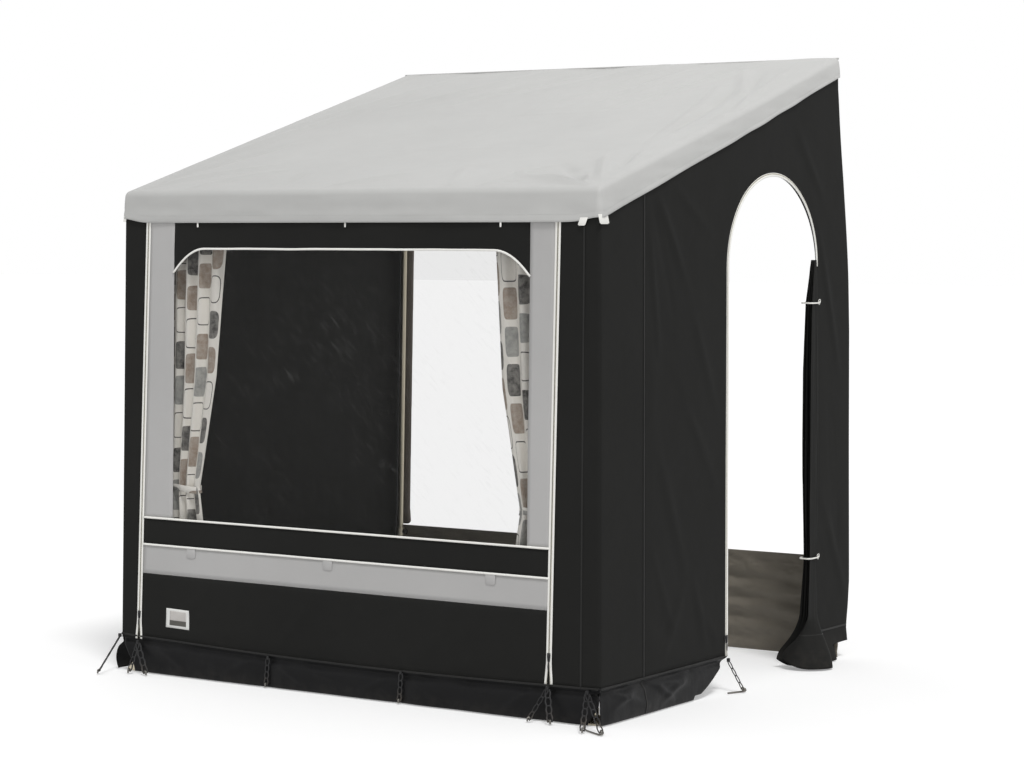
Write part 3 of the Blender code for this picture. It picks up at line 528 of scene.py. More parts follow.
def mottle_group():
    """Slow, uneven fading of a colour, as years of sun and folding leave it."""
    inputs = [("Place", VECTOR, None), ("Amount", FLOAT, 0.05), ("Size", FLOAT, 1.0)]
    graph, given, out = group("mottle", inputs, [("Shade", FLOAT)])
    place = graph.grown(given["Place"], given["Size"])
    broad = graph.noise(place, 2.1, 2)
    fine = graph.noise(place, 14.0, 4, 0.6)
    both = graph.plus(graph.times(broad, 0.65), graph.times(fine, 0.35))
    shift = graph.times(graph.math("SUBTRACT", both, 0.5), given["Amount"])
    shade = graph.plus(graph.times(shift, 4.0), 1.0)
    graph.link(shade, out.inputs[0])


def crease_group():
    """Folding creases and the small crumples between them, as a height."""
    inputs = [("Place", VECTOR, None), ("Size", FLOAT, 1.0), ("Sharpness", FLOAT, 0.5)]
    graph, given, out = group("creases", inputs, [("Height", FLOAT)])
    place = graph.grown(given["Place"], given["Size"])
    bent = graph.noise(place, 3.0, 2)
    moved = graph.node("ShaderNodeVectorMath", {0: place, 1: graph.even(bent)})
    inputs = {"Vector": moved.outputs[0], "Scale": 4.5}
    cells = graph.node("ShaderNodeTexVoronoi", inputs, feature="SMOOTH_F1")
    soft = graph.noise(place, 9.0, 3, 0.55)
    ridge = graph.times(cells.outputs["Distance"], given["Sharpness"])
    graph.link(graph.plus(ridge, graph.times(soft, 0.6)), out.inputs[0])


def ground_group():
    """Dust and dried splashes, thickest at the ground and gone above the given height."""
    inputs = [("Place", VECTOR, None), ("Height", FLOAT, 0.2), ("Amount", FLOAT, 0.5)]
    graph, given, out = group("ground dust", inputs, [("Mask", FLOAT)])
    level = graph.split(given["Place"])[2]
    spots = graph.noise(given["Place"], 26.0, 5, 0.65)
    drift = graph.noise(given["Place"], 3.5, 2)
    reach = graph.times(given["Height"], graph.plus(drift, 0.5))
    near = graph.math("SUBTRACT", 1.0, graph.math("DIVIDE", level, reach), clamp=True)
    mask = graph.times(graph.times(near, graph.remap(spots, 0.35, 0.7)), given["Amount"])
    graph.link(mask, out.inputs[0])


def wear_group():
    """Rubbed spots where a moulded or metal piece is handled: a thin scatter of scratches and scuffs."""
    inputs = [("Place", VECTOR, None), ("Amount", FLOAT, 0.5)]
    graph, given, out = group("wear", inputs, [("Mask", FLOAT), ("Height", FLOAT)])
    long = graph.stretch(given["Place"], (260.0, 260.0, 22.0), (0.3, 0.2, 0.1))
    scratches = graph.remap(graph.noise(long, 1.0, 2), 0.66, 0.74)
    scuffs = graph.remap(graph.noise(given["Place"], 60.0, 4, 0.7), 0.55, 0.75)
    both = graph.math("MAXIMUM", scratches, graph.times(scuffs, 0.6))
    graph.link(graph.times(both, given["Amount"]), out.inputs[0])
    graph.link(graph.noise(given["Place"], 220.0, 3), out.inputs[1])


def placed(graph, name, **values):
    """A group's node with its inputs linked or set."""
    made = graph.node("ShaderNodeGroup", node_tree=bpy.data.node_groups[name])
    for label, value in values.items():
        graph.fill(made.inputs[label], value)
    return made.outputs


def new_finish(name, **constants):
    """A material with one Principled shader whose plain values are set on its own sockets."""
    made = bpy.data.materials.new(f"{name}_finish")
    made.use_nodes = True
    graph = Graph(made.node_tree)
    shader = made.node_tree.nodes["Principled BSDF"]
    for label, value in constants.items():
        shader.inputs[label.replace("_", " ")].default_value = value
    return graph, shader


def coordinates(graph):
    """The piece's places in the frame and its own map."""
    texture = graph.node("ShaderNodeTexCoord")
    return texture.outputs["Object"], texture.outputs["UV"]


def relief(graph, shader, heights):
    """Bumps laid on each other: (height, distance) pairs, the widest first."""
    normal = None
    for height, distance in heights:
        inputs = {"Height": height, "Distance": distance, "Strength": 1.0}
        if normal is not None:
            inputs["Normal"] = normal
        normal = graph.node("ShaderNodeBump", inputs).outputs[0]
    graph.link(normal, shader.inputs["Normal"])


def cloth_finish(name, colour, roughness, fade, creases, crease_size, threads=900.0, weave=0.00012,
                 dust=0.08, dust_height=0.15, painted_light_ramps=(), **constants):
    """Coated woven cloth: fading, dust near the ground, weave and folding creases. Painted light ramps, where
    given, shade the cloth's colour darker towards one end and lighter towards the other, along its length and
    its depth."""
    graph, shader = new_finish(name, **constants)
    place, chart = coordinates(graph)
    shade = placed(graph, "mottle", Place=place, Amount=fade)[0]
    # Painted light: each ramp darkens the colour towards one end and brightens it towards the other.
    for axis, low, high in painted_light_ramps:
        shade = graph.times(shade, graph.remap(graph.split(place)[axis], -1.1, 1.1, low, high))
    weave_height = placed(graph, "weave", Map=chart, Threads=threads)[0]
    thread = graph.remap(weave_height, 0.0, 1.0, 0.93, 1.03)
    tint = graph.times(shade, thread)
    base = graph.mix(1.0, colour, graph.even(tint), "MULTIPLY")
    mask = placed(graph, "ground dust", Place=place, Height=dust_height, Amount=dust)[0]
    graph.link(graph.mix(mask, base, CLOTH_DUST), shader.inputs["Base Color"])
    graph.link(graph.scaled(mask, 0.25, roughness), shader.inputs["Roughness"])
    crease = placed(graph, "creases", Place=place, Size=crease_size, Sharpness=0.5)[0]
    relief(graph, shader, [(crease, creases), (weave_height, weave)])


def film_finish(colour, alpha):
    """Clear window film: soft ripples, fine slanting scuffs that roughen the film and are painted lighter
    than it, partly as real scuffs and partly as painted glints, and a faint haze.
    """
    graph, shader = new_finish("window_film", IOR=1.45, Specular_IOR_Level=0.4)
    place, _ = coordinates(graph)
    slanted = graph.stretch(graph.stretch(place, (1.0, 1.0, 1.0), (0.0, 0.8, 0.0)), (110.0, 110.0, 20.0))
    scuffs = graph.remap(graph.noise(slanted, 1.0, 2, 0.5), 0.50, 0.78)
    patches = graph.remap(graph.noise(place, 3.2, 3, 0.6), 0.40, 0.64, 0.35, 1.0)
    marks = graph.times(scuffs, patches)
    ripples = graph.noise(graph.stretch(place, (5.0, 5.0, 9.0)), 1.0, 2)
    # The scuffs lighten the film's colour and opacity: partly real scuffs, partly painted glints.
    graph.link(graph.mix(marks, colour, (0.13, 0.13, 0.125)), shader.inputs["Base Color"])
    haze = graph.times(marks, 0.04)
    graph.link(graph.plus(haze, alpha), shader.inputs["Alpha"])
    graph.link(graph.remap(scuffs, 0.0, 1.0, 0.08, 0.30), shader.inputs["Roughness"])
    relief(graph, shader, [(ripples, 0.008), (marks, 0.0001)])


def print_finish(ground, dark, taupe, grey):
    """Curtain cloth with rounded blocks in staggered columns: filled in three colours or outlined."""
    graph, shader = new_finish("curtain_print", Sheen_Weight=0.1, Specular_IOR_Level=0.25)
    place, chart = coordinates(graph)
    u, v, _ = graph.split(chart)
    column_wide, row_high = 0.118, 0.134
    column = graph.math("DIVIDE", u, column_wide)
    number = graph.math("FLOOR", column)
    row = graph.plus(graph.math("DIVIDE", v, row_high), graph.times(number, 0.37))
    level = graph.math("FLOOR", row)
    cell = graph.join(number, level, 3.0)
    chance = graph.node("ShaderNodeTexWhiteNoise", {0: cell}, noise_dimensions="3D").outputs
    spread = graph.split(chance["Color"])
    x = graph.math("SUBTRACT", graph.math("FRACT", column), 0.5)
    y = graph.math("SUBTRACT", graph.math("FRACT", row), 0.5)
    wide = graph.plus(graph.times(spread[0], 0.08), 0.36)
    high = graph.plus(graph.times(spread[1], 0.09), 0.35)
    arms = [graph.math("POWER", graph.math("DIVIDE", graph.math("ABSOLUTE", a), b), 4.0)
            for a, b in ((x, wide), (y, high))]
    ring = graph.plus(arms[0], arms[1])
    inside = graph.math("LESS_THAN", ring, 1.0)
    line = graph.times(graph.math("GREATER_THAN", ring, 0.74), inside)
    turn = graph.scaled(level, 0.618, graph.times(number, 0.283))
    pick = graph.math("FRACT", graph.plus(turn, graph.times(spread[2], 0.2)))
    filled = graph.mix(graph.math("GREATER_THAN", pick, 0.28), dark, taupe)
    filled = graph.mix(graph.math("GREATER_THAN", pick, 0.52), filled, grey)
    outlined = graph.math("GREATER_THAN", pick, 0.72)
    fill_mask = graph.times(inside, graph.math("SUBTRACT", 1.0, outlined))
    line_mask = graph.times(line, outlined)
    washed = graph.remap(graph.noise(place, 40.0, 4, 0.7), 0.3, 0.75, 0.72, 1.0)
    colour = graph.mix(graph.times(fill_mask, washed), ground, filled)
    colour = graph.mix(line_mask, colour, dark)
    shade = placed(graph, "mottle", Place=place, Amount=0.05)[0]
    colour = graph.mix(1.0, colour, graph.even(shade), "MULTIPLY")
    graph.link(colour, shader.inputs["Base Color"])
    shader.inputs["Roughness"].default_value = 0.85
    weave = placed(graph, "weave", Map=chart, Threads=700.0)[0]
    crease = placed(graph, "creases", Place=place, Size=3.0, Sharpness=0.3)[0]
    relief(graph, shader, [(crease, 0.002), (weave, 0.0002)])


def hard_finish(name, colour, worn, roughness, wear=0.4, dust=0.3, bump=0.0002, **constants):
    """A moulded or metal piece: its colour, rubbed spots, dust near the ground and a fine grain."""
    graph, shader = new_finish(name, **constants)
    place, _ = coordinates(graph)
    marks = placed(graph, "wear", Place=place, Amount=wear)
    shade = placed(graph, "mottle", Place=place, Amount=0.06, Size=6.0)[0]
    base = graph.mix(1.0, graph.mix(marks[0], colour, worn), graph.even(shade), "MULTIPLY")
    mask = placed(graph, "ground dust", Place=place, Height=0.06, Amount=dust)[0]
    graph.link(graph.mix(mask, base, HARD_DUST), shader.inputs["Base Color"])
    graph.link(graph.scaled(marks[0], 0.15, roughness), shader.inputs["Roughness"])
    relief(graph, shader, [(marks[1], bump)])


def make_finishes(colours):
    """Every finish, from the panel's colours."""
    for build in (weave_group, mottle_group, crease_group, ground_group, wear_group):
        build()
    # The roof's ramps are painted light: painted shade to the left and the front, painted light to the right
    # and the back.
    cloth_finish("roof_cloth", colours.roof, 0.50, 0.045, 0.0020, 0.8, dust=0.0,
                 painted_light_ramps=((0, 0.92, 1.04), (1, 0.97, 1.03)), Specular_IOR_Level=0.35)
    cloth_finish("dark_cloth", colours.dark_cloth, 0.68, 0.10, 0.0026, 1.1, weave=0.00006,
                 Specular_IOR_Level=0.06)
    cloth_finish("grey_cloth", colours.grey_cloth, 0.52, 0.04, 0.0016, 1.0, Specular_IOR_Level=0.3)
    cloth_finish("mud_flap_vinyl", colours.vinyl, 0.42, 0.15, 0.004, 1.6, threads=600.0, weave=0.00008,
                 dust_height=0.05, Specular_IOR_Level=0.13)
    cloth_finish("seam_tape", tone(34, 34, 33), 0.55, 0.12, 0.0005, 4.0, dust=0.1, Specular_IOR_Level=0.2)
    cloth_finish("draught_cloth", colours.draught_cloth, 0.5, 0.10, 0.004, 2.2, dust=0.4,
                 Specular_IOR_Level=0.3)
    cloth_finish("pad_cloth", colours.pad_cloth, 0.75, 0.08, 0.002, 2.0, Specular_IOR_Level=0.2)
    cloth_finish("piping", colours.piping, 0.55, 0.02, 0.0004, 8.0, threads=1400.0, dust=0.25,
                 Specular_IOR_Level=0.3)
    cloth_finish("white_cord", colours.piping, 0.7, 0.06, 0.0003, 8.0, threads=1200.0, weave=0.0003, dust=0.1)
    cloth_finish("label", colours.label, 0.5, 0.05, 0.0004, 6.0, threads=1600.0, dust=0.15)
    cloth_finish("patch_panel", tone(198, 194, 190), 0.55, 0.12, 0.0004, 6.0, threads=1600.0)
    cloth_finish("patch_field", tone(82, 80, 74), 0.55, 0.12, 0.0004, 6.0, threads=1600.0)
    film_finish(colours.film, colours.film_density)
    print_finish(colours.curtain, tone(62, 61, 60), tone(158, 141, 126), tone(150, 151, 148))
    hard_finish("galvanised_tube", colours.tube, tone(200, 196, 186), 0.34, Metallic=1.0)
    hard_finish("foot_metal", colours.foot, tone(225, 224, 220), 0.36, Metallic=1.0)
    hard_finish("peg_steel", tone(120, 118, 114), tone(185, 183, 178), 0.38, Metallic=1.0)
    hard_finish("black_plastic", tone(34, 34, 35), tone(74, 74, 74), 0.42, 0.25, Specular_IOR_Level=0.4)
    hard_finish("strap_rubber", tone(30, 30, 31), tone(66, 65, 64), 0.55, 0.3, 0.6, 0.0004,
                Specular_IOR_Level=0.35)
    hard_finish("zip_coil", tone(196, 192, 178), tone(150, 146, 132), 0.4, 0.3)
    hard_finish("dark_thread", tone(46, 46, 46), tone(70, 70, 70), 0.7, 0.2)
    hard_finish("pale_thread", tone(190, 190, 188), tone(160, 160, 158), 0.7, 0.2)


# The panel's values


def colour_value(label, words, default):
    """A colour to be set in the panel."""
    return bpy.props.FloatVectorProperty(
        name=label, description=words, default=default, subtype="COLOR", size=3, min=0, max=1
    )


def length_value(label, words, default):
    """A length to be set in the panel."""
    return bpy.props.FloatProperty(
        name=label, description=words, default=default, unit="LENGTH", min=0, precision=4
    )


class TentColours(bpy.types.PropertyGroup):
    """Colours of the tent's cloth, trim and metal."""

    roof: colour_value("Roof", "Coated cloth of the roof and its valances", tone(197, 197, 195))
    dark_cloth: colour_value("Dark cloth", "Walls, header, sill and rolled door", tone(36, 36, 35))
    grey_cloth: colour_value("Grey cloth", "Side bands and sill band", tone(184, 183, 182))
    vinyl: colour_value("Mud flaps", "Heavy vinyl from the hem to the ground", tone(18, 18, 19))
    piping: colour_value("Piping", "Piping, zip tape, tabs and cords", tone(251, 250, 245))
    label: colour_value("Blank patch", "Sewn patch on the front panel", tone(232, 232, 229))
    draught_cloth: colour_value("Draught skirt", "Coated skirt along the back", tone(130, 124, 113))
    pad_cloth: colour_value("Back pads", "Cloth of the padded seals", tone(112, 104, 96))
    curtain: colour_value("Curtain ground", "Cloth between the printed blocks", tone(250, 246, 238))
    film: colour_value("Window film", "Tint of the clear film", tone(44, 44, 42))
    film_density: bpy.props.FloatProperty(
        name="Film density", description="Share of light that the film stops", default=0.20, subtype="FACTOR",
        min=0, max=1
    )
    tube: colour_value("Tubes", "Galvanised tubes", tone(196, 188, 168))
    foot: colour_value("Feet", "Pressed metal feet", tone(196, 197, 198))


class TentCloth(bpy.types.PropertyGroup):
    """Sizes of the sheets and their folds."""

    cloth: length_value("Cloth thickness", "Thickness of the roof and walls", 0.0016)
    corner: length_value("Corner radius", "Rounding of the upright corners", 0.012)
    roof_fold: length_value("Roof fold", "Radius where the roof turns down into its valances", 0.019)
    roof_crease: length_value("Roof creases", "Height of the roof's tension creases", 0.0150)
    valance_wave: length_value("Valance wave", "Swing of the valances' lower edges", 0.0065)
    hem_width: length_value("Hem width", "Turned hems of the valances", 0.020)
    belly: length_value("Front belly", "How far the lower front panel bulges", 0.006)
    film_ripple: length_value("Film ripples", "Height of the window film's ripples", 0.0016)
    flap_fold: length_value("Mud flap folds", "Swing of the mud flaps at the ground", 0.0075)
    crinkle: length_value("Draught skirt crinkles", "Height of the draught skirt's crinkles", 0.009)
    pad_swell: length_value("Pad swelling", "How far a pad's faces may move in the simulation", 0.006)


class TentTrim(bpy.types.PropertyGroup):
    """Sizes of piping, zips, cords and stitches."""

    piping: length_value("Piping radius", "Radius of the sewn piping", 0.0040)
    tape: length_value("Zip tape", "Width of one zip tape", 0.0094)
    tooth: length_value("Zip pitch", "Spacing of the zip's teeth", 0.0042)
    stitch: length_value("Stitch pitch", "Spacing of the stitches", 0.0065)
    seam: length_value("Seam width", "Width of the felled seams", 0.012)


# Roof

REACH = CLOTH + GAP
ROOF_STEP = 0.0105
FRONT_FOOT = EAVES - 0.118
SIDE_FOOT = (EAVES - 0.107, BACK_HEIGHT - 0.075)
REAR_PULL = 0.026
WELT_RADIUS = 0.00375
STITCHED_ROWS = (7, 10)


def stations(low, high, step, near=(0,)):
    """Places from low to high at about a step, with finer ones at the given distances from both ends."""
    near = np.array(near, float)
    count = max(2, round((high - low - 2 * near[-1]) / step) + 1)
    inner = np.linspace(low + near[-1], high - near[-1], count)
    return np.concatenate([low + near[:-1], inner, (high - near[:-1])[::-1]])


def sag(x, y):
    """How far the roof hangs between its tubes: the same product of two half waves as in the frame."""
    across = np.clip((x - ROOF_MARGIN) / (WIDTH - 2 * ROOF_MARGIN), 0, 1)
    along = np.clip((y - ROOF_MARGIN) / (DEPTH - 2 * ROOF_MARGIN), 0, 1)
    return ROOF_SAG * np.sin(np.pi * across) * np.sin(np.pi * along)


def drawn_in(x, y, z):
    """How far the right side is drawn in near its back upper corner: a product of smooth steps."""
    return REAR_PULL * ease((y - 0.9) / 1.0) * ease((z - 1.45) / 0.75) * ease((x - 0.9) / 1.1)


ROOF_CREASES = (
    (2.12, 0.04, 1.97, 1.1, 0.022, 1.0), (2.1, 0.2, 1.9, 1.45, 0.024, -0.9),
    (2.06, 0.35, 1.8, 1.55, 0.022, 0.8), (2.13, 0.7, 2.02, 1.74, 0.02, 0.9),
    (2.12, 0.9, 1.88, 1.7, 0.02, -0.7), (2.11, 1.05, 1.74, 1.78, 0.024, 0.8),
    (2.12, 0.04, 1.88, 0.46, 0.016, 1.0), (2.125, 0.02, 1.9, 0.22, 0.012, 0.9),
    (2.13, 0.03, 2.06, 0.36, 0.012, -0.8), (2.125, 0.01, 1.82, 0.13, 0.011, 0.8),
    (2.105, 0.00, 1.66, 0.09, 0.011, -0.7), (1.3, 1.2, 1.62, 1.82, 0.018, 0.8),
    (1.4, 1.1, 1.78, 1.8, 0.016, -0.7), (1.52, 1.16, 1.9, 1.82, 0.016, 0.8),
    (1.1, 1.3, 1.5, 1.83, 0.016, 0.7), (2.12, 0.02, 1.76, 0.34, 0.022, -0.8),
    (2.11, 0.01, 1.62, 0.2, 0.018, 0.8), (2.13, 0.05, 2.02, 0.44, 0.016, -0.9),
    (2.138, 0.03, 2.08, 0.26, 0.013, 0.9), (2.09, 0.00, 1.98, 0.2, 0.014, 0.9),
    (0.02, 0.02, 0.46, 0.42, 0.024, 0.8), (0.02, 0.04, 0.28, 0.8, 0.024, -0.7),
    (0.02, 0.3, 0.22, 1.3, 0.024, 0.7), (0.04, 0.85, 0.36, 1.8, 0.026, 0.7),
    (0.28, 1.2, 0.85, 1.82, 0.028, 0.9), (0.52, 1.25, 1.1, 1.83, 0.026, -0.7),
    (0.82, 1.4, 1.38, 1.83, 0.026, 0.7), (1.28, 1.4, 1.54, 1.83, 0.026, -0.6),
    (0.28, 0.00, 0.54, 0.34, 0.022, 0.7), (0.9, 0.00, 1.2, 0.28, 0.022, 0.7),
    (1.52, 0.00, 1.34, 0.4, 0.024, 0.7), (0.74, 0.00, 0.64, 0.32, 0.022, -0.6),
    (1.62, 0.00, 1.8, 0.34, 0.02, 0.7), (0.4, 0.62, 1.72, 0.66, 0.008, 0.12),
    (1.08, 0.1, 1.05, 1.7, 0.008, 0.12), (0.35, 1.16, 1.8, 1.13, 0.008, 0.12),
)


def roof_top(cloth):
    """The roof's upper face on a grid whose front corners are drawn round: a square ring round a corner's
    middle becomes an arc of the same reach. The plane less its sag, turned down at the rim by a quarter
    circle, with creases that run in from the corners, rise only over the tubes and fade at the rim."""
    turns = np.radians(np.linspace(0, 90, 7))
    near = cloth.roof_fold * (1 - np.cos(turns))
    x, y = np.meshgrid(
        stations(-REACH, WIDTH + REACH, ROOF_STEP, near), stations(-REACH, DEPTH, ROOF_STEP, near)
    )
    side, front = np.minimum(x + REACH, WIDTH + REACH - x), y + REACH
    edge = np.minimum(side, front)
    radius = cloth.corner + REACH
    a, b = np.maximum(radius - side, 0), np.maximum(radius - front, 0)
    draw = np.where((a > 0) & (b > 0), np.maximum(a, b) / np.maximum(np.hypot(a, b), 1e-9), 1)
    x = np.where(x < WIDTH / 2, x + a * (1 - draw), x - a * (1 - draw))
    y = y + b * (1 - draw)
    fold = np.maximum(cloth.roof_fold - edge, 0)
    turn_down = cloth.roof_fold - np.sqrt(np.maximum(cloth.roof_fold**2 - fold**2, 0))
    creases = creased(x, y, ROOF_CREASES)
    creases = creases + 0.50 * rumple(x, y, 0.34, 2.0, 3) + 0.04 * rumple(x, 3 * y, 0.07, 4.0, 2)
    creases = np.maximum(creases, -2.5 * ease((edge - 0.07) / 0.06))
    height = roof_height(y) - sag(x, y) - turn_down + cloth.roof_crease * creases * ease(edge / 0.05)
    return at(x - drawn_in(x, y, height), y, height)


def ring_of(grid):
    """The grid's rim from its back left corner, along the front, to its back right corner."""
    return np.concatenate([grid[::-1, 0], grid[0, 1:], grid[1:, -1]])


def outward(path):
    """The level direction to the right of a plan path."""
    along = np.gradient(path[:, :2], axis=0)
    return unit(at(along[:, 1], -along[:, 0]))


def valance_foot(ring):
    """Height of the valances' lower edge: level along the front, drawn up a little at its corners, and in
    line with the roof's slope along the sides."""
    x, y = ring[:, 0], ring[:, 1]
    corner = np.minimum(np.abs(x), np.abs(WIDTH - x))
    side = np.interp(y, (0, DEPTH), SIDE_FOOT)
    level = FRONT_FOOT + 0.016 * np.exp(-((corner / 0.07) ** 2))
    return level + (side - level) * ease(y / 0.04)


def valances(cloth, ring):
    """The strips below the roof's rim: straight down, swinging outwards towards their lower edge, with a hem
    that is one cloth thicker."""
    foot, arc = valance_foot(ring), lengths_of(ring)
    hem = cloth.hem_width / (ring[:, 2] - foot).mean()
    share = np.array([0, 0.08, 0.2, 0.34, 0.48, 0.60, 0.68, 1 - hem - 0.02, 1 - hem, 0.90, 0.95, 1])[:, None]
    z = ring[:, 2] + (foot - ring[:, 2]) * share
    wave = np.sin(arc / 0.058 + 1.6 * np.sin(arc / 0.21))
    swing = 0.5 + 0.5 * wave * (0.6 + 0.4 * rumple(arc, 0, 0.3, 5.0))
    push = cloth.valance_wave * share**1.4 * swing
    push = push + 0.0042 * np.sin(np.pi * share) * (0.4 + rumple(0.25 * arc, z, 0.035, 9.0))
    push = np.maximum(push, 0) + np.where(share >= 1 - hem - 1e-6, 0.0005, 0) * (share > 0.5)
    side = outward(ring)
    points = at(ring[:, 0] + side[:, 0] * push, ring[:, 1] + side[:, 1] * push, z)
    places = at(arc, z)
    return points, places


class TENT_OT_roof(bpy.types.Operator):
    """The roof with its valances as one sheet, the hem's stitches and the round cord along the back."""

    bl_idname = "tent.roof"
    bl_label = "Roof and valances"

    def execute(self, context):
        cloth, trim = context.scene.tent_cloth, context.scene.tent_trim
        top = roof_top(cloth)
        strip, places = valances(cloth, ring_of(top))
        upper, lower = patch(settle(top), uv=top[..., :2]), patch(settle(strip), uv=places, flip=True)
        names = ["roof_canopy", "roof_valance_front", "roof_valance_left", "roof_valance_right"]
        sheet = make("roof_sheet", [upper, lower], "roof_cloth", stands_for=names,
                     thick=cloth.cloth, weld=True)
        rows = []
        for row in STITCHED_ROWS:
            side = at(*outward(strip[row]).T, 0)
            rows.append(bricks(settle(strip[row] + 0.0003 * side), trim.stitch, side))
        make("valance_stitches", rows, "pale_thread")
        x = np.linspace(0, WIDTH - REAR_PULL, 60)
        path = at(x, DEPTH + GAP + WELT_RADIUS, BACK_HEIGHT - CLOTH / 2)
        make("roof_welt", [sweep(settle(path), disc(WELT_RADIUS, 16))], "roof_cloth",
             stands_for=["roof_keder"])
        return {"FINISHED"}


# Walls

WALL_CREASES = (
    (0.31, 1.94, 0.62, 1.45, 0.018, 1.0), (0.32, 1.88, 0.5, 1.38, 0.013, -0.7),
    (0.34, 1.96, 0.8, 1.66, 0.015, 0.7), (0.31, 1.8, 0.4, 1.2, 0.013, 0.7),
    (0.6, 1.46, 0.82, 1.00, 0.02, 0.7), (0.36, 0.98, 0.6, 0.42, 0.026, 0.8),
    (0.46, 1.26, 0.84, 0.7, 0.022, 0.6), (0.34, 1.3, 0.72, 0.96, 0.018, -0.5),
    (0.32, 0.62, 0.52, 0.2, 0.018, 0.6), (0.4, 0.15, 0.58, 0.44, 0.02, 0.8),
    (0.74, 0.14, 0.62, 0.48, 0.018, 0.7), (0.86, 0.16, 0.66, 0.34, 0.014, 0.7),
    (0.84, 0.15, 0.76, 0.6, 0.014, -0.6), (0.31, 0.34, 0.6, 0.2, 0.018, -0.6),
    (0.31, 0.16, 0.46, 0.24, 0.014, 0.7), (1.4, 2.14, 1.66, 1.8, 0.018, 0.7),
    (1.58, 1.76, 1.74, 1.1, 0.018, 0.7), (1.66, 1.1, 1.72, 0.4, 0.018, -0.6),
    (1.6, 0.7, 1.8, 0.18, 0.02, 0.6),
)


def below_valance(y, z):
    """One on the open wall, and none where the valance covers it."""
    return ease((np.interp(y, (0, DEPTH), SIDE_FOOT) - z) / 0.12)


def wall_top(y):
    """Where a wall's upper edge stops, hidden behind the valance and under the roof's fold."""
    return roof_height(y) - HIDDEN_EDGE


def corner_plan(start, corner, end, radius, step=0.02):
    """A plan path from start to end that turns a square corner on an arc: two straight runs with a quarter
    circle between them."""
    start, corner, end = (np.array(p, float) for p in (start, corner, end))
    first, second = unit(start - corner), unit(end - corner)
    runs = []
    for far, way in ((start, first), (end, second)):
        reach = np.linalg.norm(far - corner)
        count = max(3, round((reach - radius) / step))
        runs.append(corner + np.linspace(reach, radius, count)[:, None] * way)
    turns = np.linspace(0, np.pi / 2, 8)[1:-1, None]
    arc = corner + radius * ((first + second) - first * np.sin(turns) - second * np.cos(turns))
    return np.concatenate([runs[0], arc, runs[1][::-1]])


def wall_grid(path, low, high, rows, push):
    """A wall over a plan path: rows at even shares of the way from its foot to its top, moved outwards by
    push(distance along the path, height). Returns its places and its map."""
    arc, side = lengths_of(path), outward(path)
    share = np.linspace(0, 1, rows)[:, None]
    z = low + (high - low) * share
    out = push(np.broadcast_to(arc, z.shape), z)
    points = at(path[:, 0] + side[:, 0] * out, path[:, 1] + side[:, 1] * out, z)
    return points, at(arc, z)


def wall_ripple(along, z, seed):
    """The hang of a wall between its tubes: slow billows and shallow upright folds."""
    billows = 0.0022 * rumple(along, 0.5 * z, 0.45, seed, 2)
    return billows + 0.0012 * rumple(along, 0.22 * z, 0.11, seed + 4, 2)


def door_curve(offset):
    """The door's edge at an offset outside it: up the front jamb and over the arch. Points are (y, z)."""
    radius = DOOR_RADIUS + offset
    turns = np.linspace(np.pi, 0, 48)
    arch = at(DOOR_MIDDLE + radius * np.cos(turns), DOOR_SPRING + radius * np.sin(turns))
    return np.concatenate([at(DOOR_MIDDLE - radius, np.linspace(HEM, DOOR_SPRING, 60)[:-1]), arch])


def straight(start, end, count):
    """Points from start up to, and without, end."""
    return np.array(start) + np.linspace(0, 1, count, endpoint=False)[:, None] * (np.array(end) - start)


FOOT_KICK = 0.022
WALL_CREASE = 0.0060


def door_wall_out(y, z):
    """The door wall's swing: creases from the front corner and round the door, slow billows, and none at its
    front seam. It only ever stands out from the frame's plane."""
    creases = creased(y, z, WALL_CREASES)
    free = ease((y - CORNER_PANEL) / 0.06) * ease((z - HEM) / 0.07) * below_valance(y, z)
    kick = FOOT_KICK * ease((0.9 * HEM - z) / HEM) * ease((y - DOOR_MIDDLE) / 0.10)
    kick = kick * ease((DEPTH - 0.03 - y) / 0.10)
    return np.maximum(0.0014 + WALL_CREASE * creases + wall_ripple(y, z, 3.0), 0) * free + kick


def door_line(offset, out=0.0):
    """The line at an offset outside the door's edge, on the swung wall or out from it, in the frame."""
    y, z = door_curve(offset).T
    return settle(at(WIDTH + (door_wall_out(y, z) + out), y, z))


def rear_fan(y, z):
    """How far the cloth behind the door spreads to the back: most at the ground and none at the top."""
    spread = np.interp(z, (0, 0.12, 0.30, 1.30, 1.90, 2.25), (0.070, 0.046, 0.066, 0.056, 0.026, 0))
    return spread * np.clip((y - DOOR_BACK) / (DEPTH - DOOR_BACK), 0, 1)


